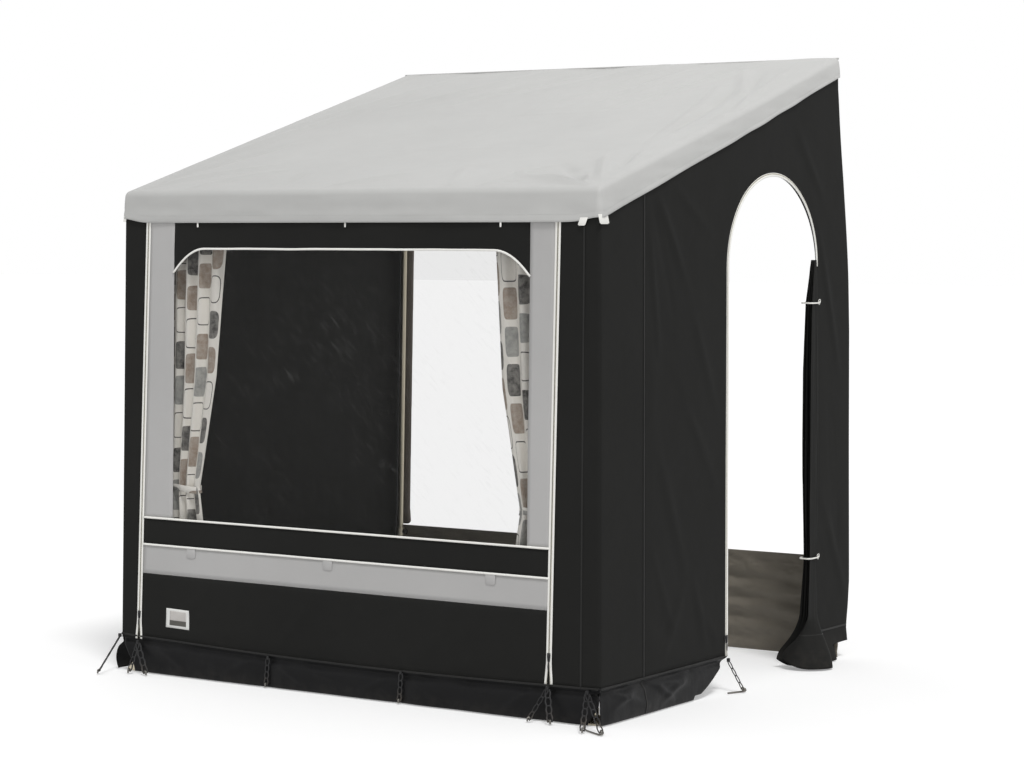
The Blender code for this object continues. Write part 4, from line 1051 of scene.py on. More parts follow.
def door_wall_grid():
    """The wall round the arched door: from the door's edge outwards, line by line, to the wall's own outline.
    The part behind the door spreads a little to the back near the ground."""
    start, jamb, back = CORNER_PANEL + GAP, DOOR_FRONT, DOOR_BACK
    foot, low, rear = HEM + GAP, GROUND, DEPTH - SLIT_BACK
    counts = (64, 14, 44, 16, 60, 5, 4)
    arch = [np.linspace(a, b, n, endpoint=False) for a, b, n in
            ((np.pi, 2.45, counts[1]), (2.45, 0.8, counts[2]), (0.8, 0, counts[3]))]
    turn = np.concatenate(arch)
    inner = [straight((jamb, foot), (jamb, DOOR_SPRING), counts[0]),
             at(DOOR_MIDDLE + DOOR_RADIUS * np.cos(turn), DOOR_SPRING + DOOR_RADIUS * np.sin(turn)),
             straight((back, DOOR_SPRING), (back, 0.11), counts[4]),
             straight((back, 0.11), (back, 0.05), counts[5]),
             straight((back, 0.05), (back, low), counts[6]), [(back, low)]]
    front_top, rear_top = (start, wall_top(start)), (DEPTH, wall_top(DEPTH))
    stops = ((start, foot), (start, 1.62), front_top, rear_top, (DEPTH, 1.62), (DEPTH, FOOT_WINDOW),
             (rear, FOOT_WINDOW), (rear, low))
    outer = [straight(a, b, n) for a, b, n in zip(stops, stops[1:], counts)] + [[stops[-1]]]
    inner, outer = np.concatenate(inner), np.concatenate(outer)
    share = (np.linspace(0, 1, 38) ** 0.9)[:, None, None]
    flat = inner + (outer - inner) * share
    y, z = flat[..., 0], flat[..., 1]
    x = np.full_like(y, WIDTH)
    return at(x - drawn_in(x, y, z) + door_wall_out(y, z), y + rear_fan(y, z), z), flat


SEAM_HEIGHT = 0.0009


def seam(path, up, width):
    """A felled seam: a flat strip with rounded edges along a path."""
    return sweep(path, slab(width, SEAM_HEIGHT, 0.45), up=up)


class TENT_OT_walls(bpy.types.Operator):
    """The left wall, the right corner panel, the wall round the door, and the seams between them."""

    bl_idname = "tent.walls"
    bl_label = "Side walls"

    def execute(self, context):
        cloth, trim = context.scene.tent_cloth, context.scene.tent_trim
        foot = HEM + GAP
        edge = ZIP_LEFT - ZIP_WIDTH / 2 - GAP
        path = corner_plan((0, DEPTH), (0, 0), (edge, 0), cloth.corner)

        def left_push(along, z):
            """The wall's ripple, outwards alone, and none at its edges."""
            free = ease(along / 0.1) * ease((DEPTH - 0.03 - along) / 0.12)
            free = free * ease((z - HEM) / 0.07) * below_valance(DEPTH - along, z)
            return np.maximum(0.0016 + wall_ripple(along, z, 6.0), 0) * free

        grid, chart = wall_grid(path, foot, wall_top(path[:, 1]), 90, left_push)
        sheet_piece("left_wall_cloth", settle(grid, True), chart, "dark_cloth", "left_wall", (1.95, 2.28),
                    "stretched", ["rafter_left", "leg_front_left_upper"], cloth.cloth)

        edge = ZIP_RIGHT + ZIP_WIDTH / 2 + GAP
        path = corner_plan((edge, 0), (WIDTH, 0), (WIDTH, CORNER_PANEL), cloth.corner, 0.012)

        def corner_push(along, z):
            """The panel's ripple, outwards alone, and none at its edges."""
            free = ease((along - 0.02) / 0.05) * ease((lengths_of(path)[-1] - along) / 0.06)
            free = free * ease((z - HEM) / 0.07) * below_valance(0, z)
            return np.maximum(0.0010 + 0.7 * wall_ripple(along, z, 8.0), 0) * free

        grid, chart = wall_grid(path, foot, wall_top(path[:, 1]), 110, corner_push)
        sheet_piece("corner_panel_cloth", settle(grid, True), chart, "dark_cloth", "right_wall_corner_panel",
                    (0.46, 1.85), "stretched", ["leg_front_right_upper"], cloth.cloth)

        grid, chart = door_wall_grid()
        sheet_piece("door_wall_cloth", settle(grid), chart, "dark_cloth", "right_wall_door_panel",
                    (1.55, 2.40), "stretched", ["rafter_right", "pole_rear_right_upper"], cloth.cloth)
        self.seams(trim)
        return {"FINISHED"}

    def seams(self, trim):
        """The seams on both sides of the right corner and behind the door, and stitches beside them."""
        z = np.linspace(HEM + GAP, wall_top(CORNER_PANEL) - 0.05, 120)
        line = settle(at(WIDTH + 0.0004, CORNER_PANEL, z))
        strips = [seam(line, (1, 0, 0), 0.7 * trim.seam)]
        inset = 0.22 * trim.seam
        rows = [bricks(line + (0.0009, way * inset, 0), trim.stitch, (1, 0, 0)) for way in (-1, 1)]
        z = np.linspace(HEM + GAP, FRONT_FOOT + 0.01, 110)
        line = settle(at(RETURN_SEAM, -0.0016, z), drift=True)
        strips.append(seam(line, (0, -1, 0), 0.6 * trim.seam))
        y = np.linspace(DOOR_BACK + 0.004, DEPTH - 0.003, 50)
        line = at(WIDTH + 0.001, y + rear_fan(y, HEM), HEM)
        strips.append(seam(settle(line), (1, 0, 0), 0.7 * trim.seam))
        rows.append(bricks(door_line(0.017, 0.0002), trim.stitch, (1, 0, 0)))
        make("wall_seams", strips, "seam_tape")
        make("wall_stitches", rows, "dark_thread")


# Front

HEADER_FOOT = 1.545
FRONT_LAP = 0.02
FILM_LAP = 0.012
BAND_STEP = 0.018
FRONT_CREASE = 0.0034
FRONT_CREASES = (
    (0.18, 0.14, 0.46, 0.36, 0.016, 0.8), (0.22, 0.13, 0.7, 0.22, 0.014, 0.7),
    (0.5, 0.38, 0.7, 0.15, 0.018, 0.8), (0.75, 0.14, 0.94, 0.36, 0.018, 0.8),
    (0.86, 0.3, 1.32, 0.14, 0.016, 0.6), (1.36, 0.14, 1.58, 0.34, 0.018, 0.8),
    (1.42, 0.13, 1.9, 0.24, 0.014, 0.7), (1.72, 0.37, 1.94, 0.15, 0.016, 0.9),
    (0.3, 0.66, 0.5, 0.4, 0.014, 0.4), (1.05, 0.42, 1.26, 0.6, 0.014, 0.4),
    (0.17, 1.74, 0.22, 1.3, 0.012, 0.5), (1.94, 1.74, 1.9, 1.25, 0.012, 0.5),
)


def front_out(x, z, belly):
    """How far the front stands out: a shallow belly in the lower panel, billows between the zips and shallow
    upright folds, all zero at the zips and at the top."""
    share = np.clip((x - ZIP_LEFT) / (ZIP_RIGHT - ZIP_LEFT), 0, 1)
    held = ease(np.minimum(share, 1 - share) / 0.05) * ease((FRONT_FOOT - z) / 0.1) * ease((z - 0.125) / 0.05)
    low = ease((LOWER_PIPING + 0.05 - z) / 0.2) * np.sin(np.pi * share)
    waves = 0.0020 * rumple(x, 0.7 * z, 0.35, 11.0, 2) + 0.0012 * rumple(x, 0.3 * z, 0.10, 12.0, 2)
    waves = waves + FRONT_CREASE * creased(x, z, FRONT_CREASES)
    return held * np.maximum(0.0014 + belly * low + waves, 0)


def hem_lift(x, z):
    """The hem's own curve: higher at both ends than in the middle, fading out above and at the ground."""
    share = x / WIDTH
    lift = 0.001 + 0.014 * (1 - share) - 0.019 * np.sin(np.pi * np.clip(share, 0, 1))
    return lift * ease((BAND_FOOT - z) / (BAND_FOOT - HEM)) * ease(z / (0.8 * HEM))


def front_line(x, z, belly, out=0.0):
    """Frame places on the front at given x and z: out by its own swing and a distance, up by the hem's
    curve."""
    return settle(at(x, -front_out(x, z, belly) - out, z + hem_lift(x, z)), drift=True)


def window_edge(x, offset=0.0):
    """Height of the window's top at x: level, with shoulders that fall as the distance squared."""
    width, height = SHOULDER_WIDTH + offset, SHOULDER_HEIGHT + offset
    near = np.minimum(x - WINDOW_LEFT, WINDOW_RIGHT - x)
    share = np.clip((SHOULDER_WIDTH - near) / width, 0, 1)
    return WINDOW_TOP + offset - height * share**2 + 0.0012 * rumple(x, 0, 0.16, 17.0)


def band(x0, x1, low, high, belly):
    """Places and map of one panel of the front between two heights, which may be curves over x."""
    x = np.linspace(x0, x1, max(3, round((x1 - x0) / BAND_STEP) + 1))
    bottom, top = (np.broadcast_to(h(x) if callable(h) else h, x.shape) for h in (low, high))
    rows = max(3, round(float((top - bottom).max()) / BAND_STEP) + 1)
    z = bottom + (top - bottom) * np.linspace(0, 1, rows)[:, None]
    return front_line(x, z, belly), at(x, z)


def piping(path, radius, up):
    """Piping: a round cord in its cloth with the sewn edge flat behind it."""
    turn = circle(12)
    profile = at(np.cos(turn), 0.75 * np.sin(turn) + 0.45) * radius
    return sweep(path, profile, up=up)


class TENT_OT_front(bpy.types.Operator):
    """The front between its two zips: header, bands, lower panel, piping and stitches."""

    bl_idname = "tent.front"
    bl_label = "Front panels"

    def execute(self, context):
        cloth, trim = context.scene.tent_cloth, context.scene.tent_trim
        belly = cloth.belly
        left, right = ZIP_LEFT + ZIP_WIDTH / 2 + GAP, ZIP_RIGHT - ZIP_WIDTH / 2 - GAP
        top = EAVES - HIDDEN_EDGE
        panels = (
            ("side_band_left", "front_side_band_left", "grey_cloth", left, WINDOW_LEFT, UPPER_PIPING, top),
            ("side_band_right", "front_side_band_right", "grey_cloth", WINDOW_RIGHT, right, UPPER_PIPING,
             top),
            ("sill_dark", "sill_band_dark", "dark_cloth", left, right, LOWER_PIPING, UPPER_PIPING),
            ("sill_grey", "sill_band_grey", "grey_cloth", left, right, BAND_FOOT, LOWER_PIPING),
            ("lower_panel", "front_lower_panel", "dark_cloth", left, right, HEM + GAP, BAND_FOOT),
            ("header", "front_header", "dark_cloth", WINDOW_LEFT, WINDOW_RIGHT, window_edge, top),
        )
        for name, node, finish, x0, x1, low, high in panels:
            lowest = HEADER_FOOT if callable(low) else low
            size = (x1 - x0 + FRONT_LAP, high - lowest + FRONT_LAP)
            sheet_piece(name, *band(x0, x1, low, high, belly), finish, node, size, "stretched",
                        ["eaves_rail_left", "eaves_rail_right"], cloth.cloth)
        self.trim(belly, trim, left, right)
        return {"FINISHED"}

    def trim(self, belly, trim, left, right):
        """Piping above and below the sill, round the window's top, and the rows of stitches beside them."""
        up = (0, -1, 0)
        x = np.linspace(left, right, 160)
        lines = [front_line(x, z, belly, 0.0002) for z in (UPPER_PIPING, LOWER_PIPING)]
        x = np.linspace(WINDOW_LEFT - 0.002, WINDOW_RIGHT + 0.002, 170)
        lines.append(front_line(x, window_edge(x), belly, 0.0002))
        make("front_piping", [piping(line, trim.piping, up) for line in lines], "piping")
        rows = []
        for z in (UPPER_PIPING - 0.006, LOWER_PIPING + 0.006, BAND_FOOT - 0.004):
            x = np.linspace(left, right, 120)
            rows.append(bricks(front_line(x, z, belly, 0.0003), trim.stitch, up))
        x = np.linspace(WINDOW_LEFT + 0.02, WINDOW_RIGHT - 0.02, 120)
        rows.append(bricks(front_line(x, window_edge(x) + 0.007, belly, 0.0003), trim.stitch, up))
        make("front_stitches", rows, "dark_thread")


class TENT_OT_window(bpy.types.Operator):
    """The clear film behind the front's opening, with soft ripples."""

    bl_idname = "tent.window"
    bl_label = "Window film"

    def execute(self, context):
        cloth = context.scene.tent_cloth
        x = np.linspace(WINDOW_LEFT - FILM_LAP, WINDOW_RIGHT + FILM_LAP, 150)
        low = UPPER_PIPING - FILM_LAP
        high = window_edge(np.clip(x, WINDOW_LEFT + 0.004, WINDOW_RIGHT - 0.004), FILM_LAP)
        z = low + (high - low) * np.linspace(0, 1, 96)[:, None]
        edge = np.minimum(np.minimum(x - x[0], x[-1] - x), np.minimum(z - low, high - z))
        free = ease((edge - FILM_LAP) / 0.08)
        ripple = rumple(x + 0.5 * z, 0.35 * z - 0.2 * x, 0.16, 21.0, 3)
        depth = CLOTH + GAP + 0.0012 - front_out(x, z, 0) * free + cloth.film_ripple * ripple * free
        depth = np.maximum(depth, cloth.cloth + 0.0004 - front_out(x, z, 0))
        sheet_piece("film", settle(at(x, depth, z), drift=True), at(x, z), "window_film", "window_film",
                    (1.70, 1.06), "stretched", ["front_header", "sill_band_dark"])
        return {"FINISHED"}


# Zips

BACKING_WIDTH = 0.044


def zip_run(path, side, up, tape, tooth, spread=None):
    """A closed zip along a path: two tapes beside each other, each with a row of teeth. Spread, where given,
    moves the tapes apart at each point of the path."""
    spread = np.zeros(len(path)) if spread is None else spread
    tapes, teeth = [], []
    for way in (-1, 1):
        middle = path + way * side * (0.0012 + tape / 2 + spread)[:, None]
        tapes.append(sweep(middle, slab(tape, 0.0011), up=up))
        edge = path + way * side * (0.0011 + spread)[:, None]
        teeth.append(bricks(edge + np.asarray(up) * 0.0003, tooth, up, tooth * 0.62, 0.0030, 0.0016, 0.75))
    return tapes, teeth


def slider_pieces(foot, right, up, out):
    """A zip slider: a waisted body, a bridge over it and a pull that hangs from the bridge. Distances are
    from the body's foot."""
    foot, right, up, out = (np.asarray(v, float) for v in (foot, right, up, out))
    body = [(0.0045, 0.0), (0.0060, 0.010), (0.0070, 0.022), (0.0062, 0.0295)]
    body += [(-a, b) for a, b in reversed(body)]
    bridge = [(0.0017, 0.004), (0.0017, 0.024), (-0.0017, 0.024), (-0.0017, 0.004)]
    turn = circle(20)
    pull = at(0.0030 * np.cos(turn), -0.0140 + 0.0155 * np.sin(turn))
    hole = at(0.0012 * np.cos(turn), -0.0220 + 0.0040 * np.sin(turn))
    shapes = [plate(body, foot, right, up, 0.0034, 0.0009)]
    shapes.append(plate(bridge, foot + 0.0036 * out, right, up, 0.0022, 0.0007))
    shapes.append(plate(pull, foot + 0.0034 * out, right, up, 0.0016, 0.0006))
    shapes.append(plate(hole, foot + 0.0050 * out, right, up, 0.0006, 0.0002))
    return shapes


class TENT_OT_zips(bpy.types.Operator):
    """The two front zips with split feet, the zip and piping round the door, and a slider on each."""

    bl_idname = "tent.zips"
    bl_label = "Zips"

    def execute(self, context):
        trim = context.scene.tent_trim
        up = np.array((0, -1.0, 0))
        backings = []
        for name, x in (("left", ZIP_LEFT), ("right", ZIP_RIGHT)):
            z = np.linspace(HEM + GAP, EAVES - 0.032, 220)
            path = settle(at(x, -0.0001, z), drift=True)
            spread = 0.0008 + 0.0055 * ease((0.215 - z) / 0.085)
            tapes, teeth = zip_run(path, np.array((1.0, 0, 0)), up, trim.tape, trim.tooth, spread)
            backings.append(sweep(path + (0, 0.0034, 0), slab(BACKING_WIDTH, 0.0012), up=up))
            make(f"front_zip_{name}_tape", tapes, "piping", stands_for=[f"front_zip_{name}"])
            make(f"front_zip_{name}_teeth", teeth, "zip_coil")
            middle = settle([(x, -GAP, 0.21), (x, -GAP, 0.24)], drift=True)
            lean = unit(middle[1] - middle[0])
            self.slider(f"zip_slider_{name}", middle[0], np.cross(lean, up), lean, up)
        make("zip_backings", backings, "dark_cloth")
        self.door(trim)
        return {"FINISHED"}

    def door(self, trim):
        """The door's zip follows its front jamb and arch, with piping on the edge itself."""
        up = np.array((1.0, 0, 0))
        path = door_line(0.0075, 0.0002)
        along = unit(np.gradient(path, axis=0))
        side = unit(np.cross(along, up))
        tapes, teeth = zip_run(path, side, up, 0.0030, trim.tooth)
        tapes.append(piping(door_line(0.0008), trim.piping, up))
        make("door_zip_tape", tapes, "piping", stands_for=["door_zip"])
        make("door_zip_teeth", teeth, "zip_coil")
        foot = settle([(WIDTH + 0.0026, DOOR_FRONT - 0.008, 0.18)])[0]
        self.slider("door_slider", foot, (0, 1, 0), (0, 0, 1), (1, 0, 0))

    def slider(self, name, foot, right, up, out):
        """A slider on its own body."""
        make(f"{name}_detail", slider_pieces(foot, right, up, out), "black_plastic", body=name,
             stands_for=[name])


# Mud flaps

FLAP_WALLS = {"front": "front_lower_panel", "left": "left_wall", "right": "right_wall_door_panel"}
FLAP_START = 0.108
FLAP_TOP_START = 0.004
FLAP_ROWS = 22
FLAP_CREASE = 0.0045
FRONT_STRAPS = ((0.724, 0.05), (1.335, 0.05), (0.126, 0.07), (1.985, 0.07), (0.0, 0.06), (2.12, 0.06))
FLAP_CREASES = (
    (0.15, 0.13, 0.36, 0.02, 0.012, 0.8), (0.18, 0.13, 0.56, 0.05, 0.01, 0.7),
    (0.7, 0.13, 0.5, 0.02, 0.012, 0.8), (0.75, 0.12, 0.9, 0.03, 0.012, 0.8),
    (0.8, 0.12, 1.1, 0.06, 0.01, 0.7), (1.31, 0.12, 1.14, 0.02, 0.012, 0.8),
    (1.36, 0.12, 1.54, 0.02, 0.012, 0.8), (1.42, 0.13, 1.8, 0.06, 0.01, 0.7),
    (1.93, 0.13, 1.76, 0.01, 0.012, 0.9), (3.02, 0.13, 3.32, 0.03, 0.014, 1.6),
    (3.28, 0.12, 3.06, 0.05, 0.012, 1.2), (3.3, 0.12, 3.6, 0.07, 0.014, 1.8),
    (3.31, 0.13, 3.5, 0.02, 0.012, 1.4), (3.62, 0.12, 3.38, 0.02, 0.014, 1.4),
    (3.62, 0.11, 3.84, 0.1, 0.012, 1.4),
)


def flap_out(along, z, swing, straps=()):
    """A mud flap's swing: drawn in a little just under the hem, with soft upright folds that open towards the
    ground and long creases, and held flat where a strap crosses it."""
    low = np.clip(1 - z / (HEM - 0.004), 0, 1)
    folds = 0.5 + 0.5 * np.sin(along / 0.075 + 2.2 * np.sin(along / 0.21))
    out = swing * low**1.2 * (0.45 + 0.55 * folds * (0.6 + 0.4 * rumple(along, 0 * z, 0.4, 31.0)))
    out = out + FLAP_CREASE * creased(along, z, FLAP_CREASES)
    free = 1.0
    for place, reach in straps:
        free = free * (1 - np.exp(-(((along - place) / reach) ** 2)))
    lumps = 0.55 + 0.45 * rumple(along, 2 * z, 0.22, 35.0)
    bulge = 0.016 * np.sin(np.pi * np.clip(low / 1.1, 0, 1)) * lumps
    recess = 0.013 * np.exp(-(((low - 0.12) / 0.10) ** 2)) * ease(low / 0.06)
    limit = 0.0002 + 0.0105 * low + 0.02 * low * free * (len(straps) > 0)
    return np.minimum(out, limit) + (bulge * free if len(straps) else 0.4 * bulge) - recess


class TENT_OT_mud_flaps(bpy.types.Operator):
    """The three mud flaps from the hem to the ground, with the hem's seam along their upper edges."""

    bl_idname = "tent.mud_flaps"
    bl_label = "Mud flaps"

    def execute(self, context):
        cloth, trim = context.scene.tent_cloth, context.scene.tent_trim
        z = (GROUND + HEM * np.linspace(0, 1, FLAP_ROWS))[:, None]
        start = FLAP_START + (FLAP_TOP_START - FLAP_START) * ease(z / HEM)
        end = WIDTH - 0.001 - 0.034 * ease(1 - 1.6 * z / HEM)
        x = start + (end - start) * np.linspace(0, 1, 230)
        z = np.broadcast_to(z, x.shape)
        out = flap_out(x, z, cloth.flap_fold, FRONT_STRAPS) - 0.0004 * (z > HEM)
        places = at(x, -out, z + hem_lift(x, z))
        shapes = {"front": (settle(places, drift=True), at(x, z), (2.09, 0.15))}
        y, z = np.broadcast_arrays(np.linspace(DEPTH, 0.012, 160), z[:, :1])
        corner = 0.030 * ease((0.30 - y) / 0.30) * np.sin(np.pi * (1 - z / HEM) * 0.8)
        out = flap_out(y, z, cloth.flap_fold) + corner
        shapes["left"] = (settle(at(-out, y, z)), at(-y, z), (1.75, 0.15))
        y = np.linspace(0.001, DOOR_FRONT, 150)
        rise = np.clip((y - SKIRT_RISE_START) / (DOOR_FRONT - SKIRT_RISE_START), 0, 1)
        notch = 0.015 * ease((y - SKIRT_RISE_START + 0.012) / 0.006)
        low = GROUND + np.maximum(notch, (HEM - 0.007) * (0.8 * rise**1.15 + 0.2 * rise))
        z = low + (HEM + GROUND - low) * np.linspace(0, 1, FLAP_ROWS)[:, None]
        y, z = np.broadcast_arrays(y, z)
        out = flap_out(y + 3, z, cloth.flap_fold, ((3.0, 0.05),))
        shapes["right"] = (settle(at(WIDTH + out, y, z)), at(y, z), (0.87, 0.15))
        for side, (points, chart, size) in shapes.items():
            sheet_piece(f"mud_flap_{side}_cloth", points, chart, "mud_flap_vinyl", f"mud_flap_{side}", size,
                        "hung", [FLAP_WALLS[side]], cloth.cloth)
        self.hem(trim, cloth)
        return {"FINISHED"}

    def hem(self, trim, cloth):
        """The hem's seam with its two rows of stitches."""
        x = np.linspace(FLAP_TOP_START, WIDTH - 0.004, 190)
        front = settle(at(x, -0.0004, HEM + hem_lift(x, HEM)), drift=True)
        y = np.linspace(DEPTH, 0.012, 120)
        left = settle(at(-0.0004, y, HEM))
        y = np.linspace(0.004, DOOR_FRONT, 70)
        right = settle(at(WIDTH + 0.0004, y, HEM))
        runs = [(front, (0, -1, 0)), (left, (-1, 0, 0)), (right, (1, 0, 0))]
        z = np.linspace(0.006, HEM - 0.002, 30)
        out = flap_out(0 * z + CORNER_PANEL + 3, z, cloth.flap_fold, ((3.0, 0.05),)) + 0.0002
        drop = settle(at(WIDTH + out, 0 * z + CORNER_PANEL, z))
        strips = [seam(path, up, 0.6 * trim.seam) for path, up in runs + [(drop, (1, 0, 0))]]
        make("hem_seam", strips, "seam_tape")
        rows = [bricks(path + np.array(up) * 0.0009 + (0, 0, side * 0.0024), trim.stitch, up)
                for path, up in runs for side in (-1, 1)]
        make("hem_stitches", rows, "dark_thread")


# Curtains

CURTAIN_TOP = RAIL_HEIGHT - RAIL_RADIUS - GAP
CURTAIN_FLAT = 0.54
CURTAIN_ROWS = 100
PLEATS = 4


def curtain_grid(outer, direction, seed):
    """A gathered curtain: four flat-faced pleats, wider towards the window's middle, whose width and depth
    change with height and whose hang wavers a little. A wave pressed flat at both ends gives their faces."""
    share = np.linspace(0, 1, 190)
    z = np.linspace(CURTAIN_FOOT, CURTAIN_TOP, CURTAIN_ROWS)[:, None]
    fullest = CURTAIN_TIE + 0.46 * (CURTAIN_TOP - CURTAIN_TIE)
    heights = (CURTAIN_FOOT, CURTAIN_TIE, fullest, CURTAIN_TOP)
    width = np.interp(z, heights, (0.175, 0.150, 0.2279, 0.265))
    depth = 0.0155 * np.interp(z, heights, (0.95, 0.75, 0.9, 1.0))
    drift = 0.5 * rumple(share * 3, z, 0.6, seed) + 0.25 * rumple(share * 9, z, 0.35, seed + 2)
    phase = 2 * np.pi * PLEATS * (1 - (1 - share) ** 1.35 + 0.018 * drift) + 0.5 * (z - fullest)
    wave = np.tanh(2.2 * np.sin(phase)) / np.tanh(2.2)
    swing = 0.85 + 0.15 * rumple(share * 7, z, 0.5, seed + 5)
    sideways = 0.004 * np.sin(2 * phase) * np.sin(np.pi * share)
    x = outer + direction * (width * share + sideways)
    y = TUBE_INSET + depth * swing * wave
    z = np.broadcast_to(z, x.shape)
    chart = at(share * CURTAIN_FLAT + seed, z)
    return at(x, y, z), chart


class TENT_OT_curtains(bpy.types.Operator):
    """The two gathered curtains under their rail, with rings and ties."""

    bl_idname = "tent.curtains"
    bl_label = "Curtains"

    def execute(self, context):
        for side, outer, direction in (("left", CURTAIN_INSET, 1), ("right", WIDTH - CURTAIN_INSET, -1)):
            grid, chart = curtain_grid(outer, direction, 1.0 if side == "left" else 4.0)
            shape = patch(settle(grid), uv=chart, flip=direction < 0)
            body = f"curtain_{side}"
            made = make(f"{body}_cloth", shape, "curtain_print", body=body,
                        stands_for=[body], thick=CURTAIN_CLOTH)
            parts = [self.rings(side, grid), self.tie(side, grid)]
        return {"FINISHED"}

    def rings(self, side, grid):
        """Small rings round the rail, one at every second pleat's top."""
        turn = circle(20)
        loops = []
        for x in np.linspace(grid[-1, 4, 0], grid[-1, -5, 0], 7):
            middle = settle([(x, TUBE_INSET, RAIL_HEIGHT)])[0]
            loop = middle + 0.0052 * at(0 * turn, np.cos(turn), np.sin(turn))
            loops.append(sweep(loop, disc(0.0009, 8), up=(1, 0, 0), closed=True))
        return make(f"curtain_{side}_rings", loops, "white_cord", body=f"curtain_{side}")

    def tie(self, side, grid):
        """The band round the gathered cloth at its tie."""
        share = (CURTAIN_TIE - CURTAIN_FOOT) / (CURTAIN_TOP - CURTAIN_FOOT)
        row = int(round(share * (CURTAIN_ROWS - 1)))
        low, high = grid[row].min(0), grid[row].max(0)
        turn = circle(64)
        half = (high[0] - low[0]) / 2 + 0.003
        curve = at((low[0] + high[0]) / 2 + half * np.cos(turn), TUBE_INSET + 0.0135 * np.sin(turn),
                   CURTAIN_TIE + 0.004 * np.sin(turn * 2))
        loop = sweep(settle(curve), slab(0.026, 0.0012)[:, ::-1], up=(0, 0, 1), closed=True)
        return make(f"curtain_{side}_tie", [loop], "curtain_print", body=f"curtain_{side}")


# Back

SKIRT_FLAT = (2.16, 0.52)
SKIRT_FOLDS = 5
PAD_INSET = 0.003
PAD_TOP_CLEARANCE = 0.012


class TENT_OT_back(bpy.types.Operator):
    """The crinkled draught skirt along the back and the padded seals on the back poles."""

    bl_idname = "tent.back"
    bl_label = "Draught skirt and pads"

    def execute(self, context):
        cloth = context.scene.tent_cloth
        x = np.linspace(0.006, WIDTH - 0.006, 330)
        z = np.linspace(GROUND, SKIRT_TOP, 84)[:, None]
        share = (z - GROUND) / (SKIRT_TOP - GROUND)
        swing = np.sin(2 * np.pi * SKIRT_FOLDS * share + 2.2 * x) * np.sin(np.pi * share)
        crinkle = rumple(0.35 * x, z, 0.032, 41.0, 3) + 0.7 * rumple(x + 0.4 * z, 1.6 * z, 0.085, 43.0, 2)
        held = ease(share / 0.06) * ease((1 - share) / 0.06)
        y = DEPTH - SKIRT_FRONT + 0.008 * (1 + swing) + cloth.crinkle * crinkle * held
        y = np.minimum(y, DEPTH - CLOTH)
        sheet_piece("draught_skirt_cloth", settle(at(x, y, z)), at(x, z), "draught_cloth", "draught_skirt",
                    SKIRT_FLAT, "hung", ["rear_pad_left", "rear_pad_right"], SKIRT_CLOTH)
        for side, x0 in (("left", PAD_SIDE_CLEARANCE), ("right", WIDTH - PAD_SIDE_CLEARANCE - PAD_WIDTH)):
            self.pad(side, x0, cloth.pad_swell)
        return {"FINISHED"}

    def pad(self, side, x0, swell):
        """A long pad: an upright form with rounded edges, remeshed, blown up by a cloth simulation and kept
        near its start."""
        low = SKIRT_TOP + GAP + PAD_INSET
        high = roof_height(DEPTH - PAD_THICKNESS) - CLOTH - GAP - PAD_TOP_CLEARANCE
        middle = (x0 + PAD_WIDTH / 2, DEPTH - PAD_THICKNESS / 2)
        z = np.linspace(low, high, 200)
        end = np.minimum(z - low, high - z)
        size = 1 - 0.28 * np.clip(1 - end / 0.010, 0, 1) ** 2
        turn = circle(28)
        round_x, round_y = squared(turn, 0.5)
        x = middle[0] + (PAD_WIDTH / 2 - PAD_INSET) * round_x * size[:, None]
        y = middle[1] + (PAD_THICKNESS / 2 - PAD_INSET) * round_y * size[:, None]
        z = np.broadcast_to(z[:, None], x.shape)
        grid = settle(at(x - 1.1 * drawn_in(x, y, z), y, z))
        made = make(f"rear_pad_{side}_cushion", patch(grid, around=True, caps=True), "pad_cloth",
                    stands_for=[f"rear_pad_{side}"])
        inflate(made, swell)


PAD_VOXEL = 0.005
SWELL_FRAMES = 20
AIR_PRESSURE = 4


def inflate(made, reach):
    """Remeshes a closed form, lets air pressure swell it as cloth for some frames, and keeps each point
    within reach of its start."""
    scene = bpy.context.scene
    bpy.context.view_layer.objects.active = made
    remesh = made.modifiers.new("even faces", "REMESH")
    remesh.mode, remesh.voxel_size = "VOXEL", PAD_VOXEL
    applied(made)
    start = np.empty(3 * len(made.data.vertices), np.float32)
    made.data.vertices.foreach_get("co", start)
    pull = made.modifiers.new("swelling", "CLOTH")
    pull.settings.quality = 5
    pull.settings.use_pressure = True
    pull.settings.uniform_pressure_force = AIR_PRESSURE
    pull.settings.effector_weights.gravity = 0
    pull.point_cache.frame_start, pull.point_cache.frame_end = 1, SWELL_FRAMES
    for number in range(1, SWELL_FRAMES + 1):
        scene.frame_set(number)
    applied(made)
    scene.frame_set(1)
    ended = np.empty_like(start)
    made.data.vertices.foreach_get("co", ended)
    move = (ended - start).reshape(-1, 3)
    size = np.maximum(np.linalg.norm(move, axis=1, keepdims=True), 1e-9)
    made.data.vertices.foreach_set("co", (start.reshape(-1, 3) + move * np.minimum(1, reach / size)).ravel())
    made.data.shade_smooth()


def applied(made):
    """Puts the modifiers' result in the piece's own mesh."""
    graph = bpy.context.evaluated_depsgraph_get()
    mesh = bpy.data.meshes.new_from_object(made.evaluated_get(graph))
    made.modifiers.clear()
    made.data = mesh


# Door

DOOR_LAYERS = 7
DOOR_FLAT = (0.71, 1.60)


def flap_size(z):
    """The gathered door's half thickness, reach and back edge at a height, as in the frame."""
    heights = (0, 0.10, 0.24, TIE_LOWER, 0.75, 1.15, TIE_UPPER, FLAP_TOP)
    half = np.interp(z, heights, (1.15, 1.10, 1.0, 0.80, 1.0, 1.0, 0.80, 0.35)) * 0.026
    back = DOOR_BACK - TIE_CLEARANCE - 0.004 - GAP
    reach = np.interp(z, (0, 0.04, 0.10, 0.15, 0.24, *heights[3:]),
                      (0.150, 0.142, 0.128, 0.114, 0.104, 0.0782, 0.092, 0.092, 0.0736, 0.0276))
    return half, reach, back


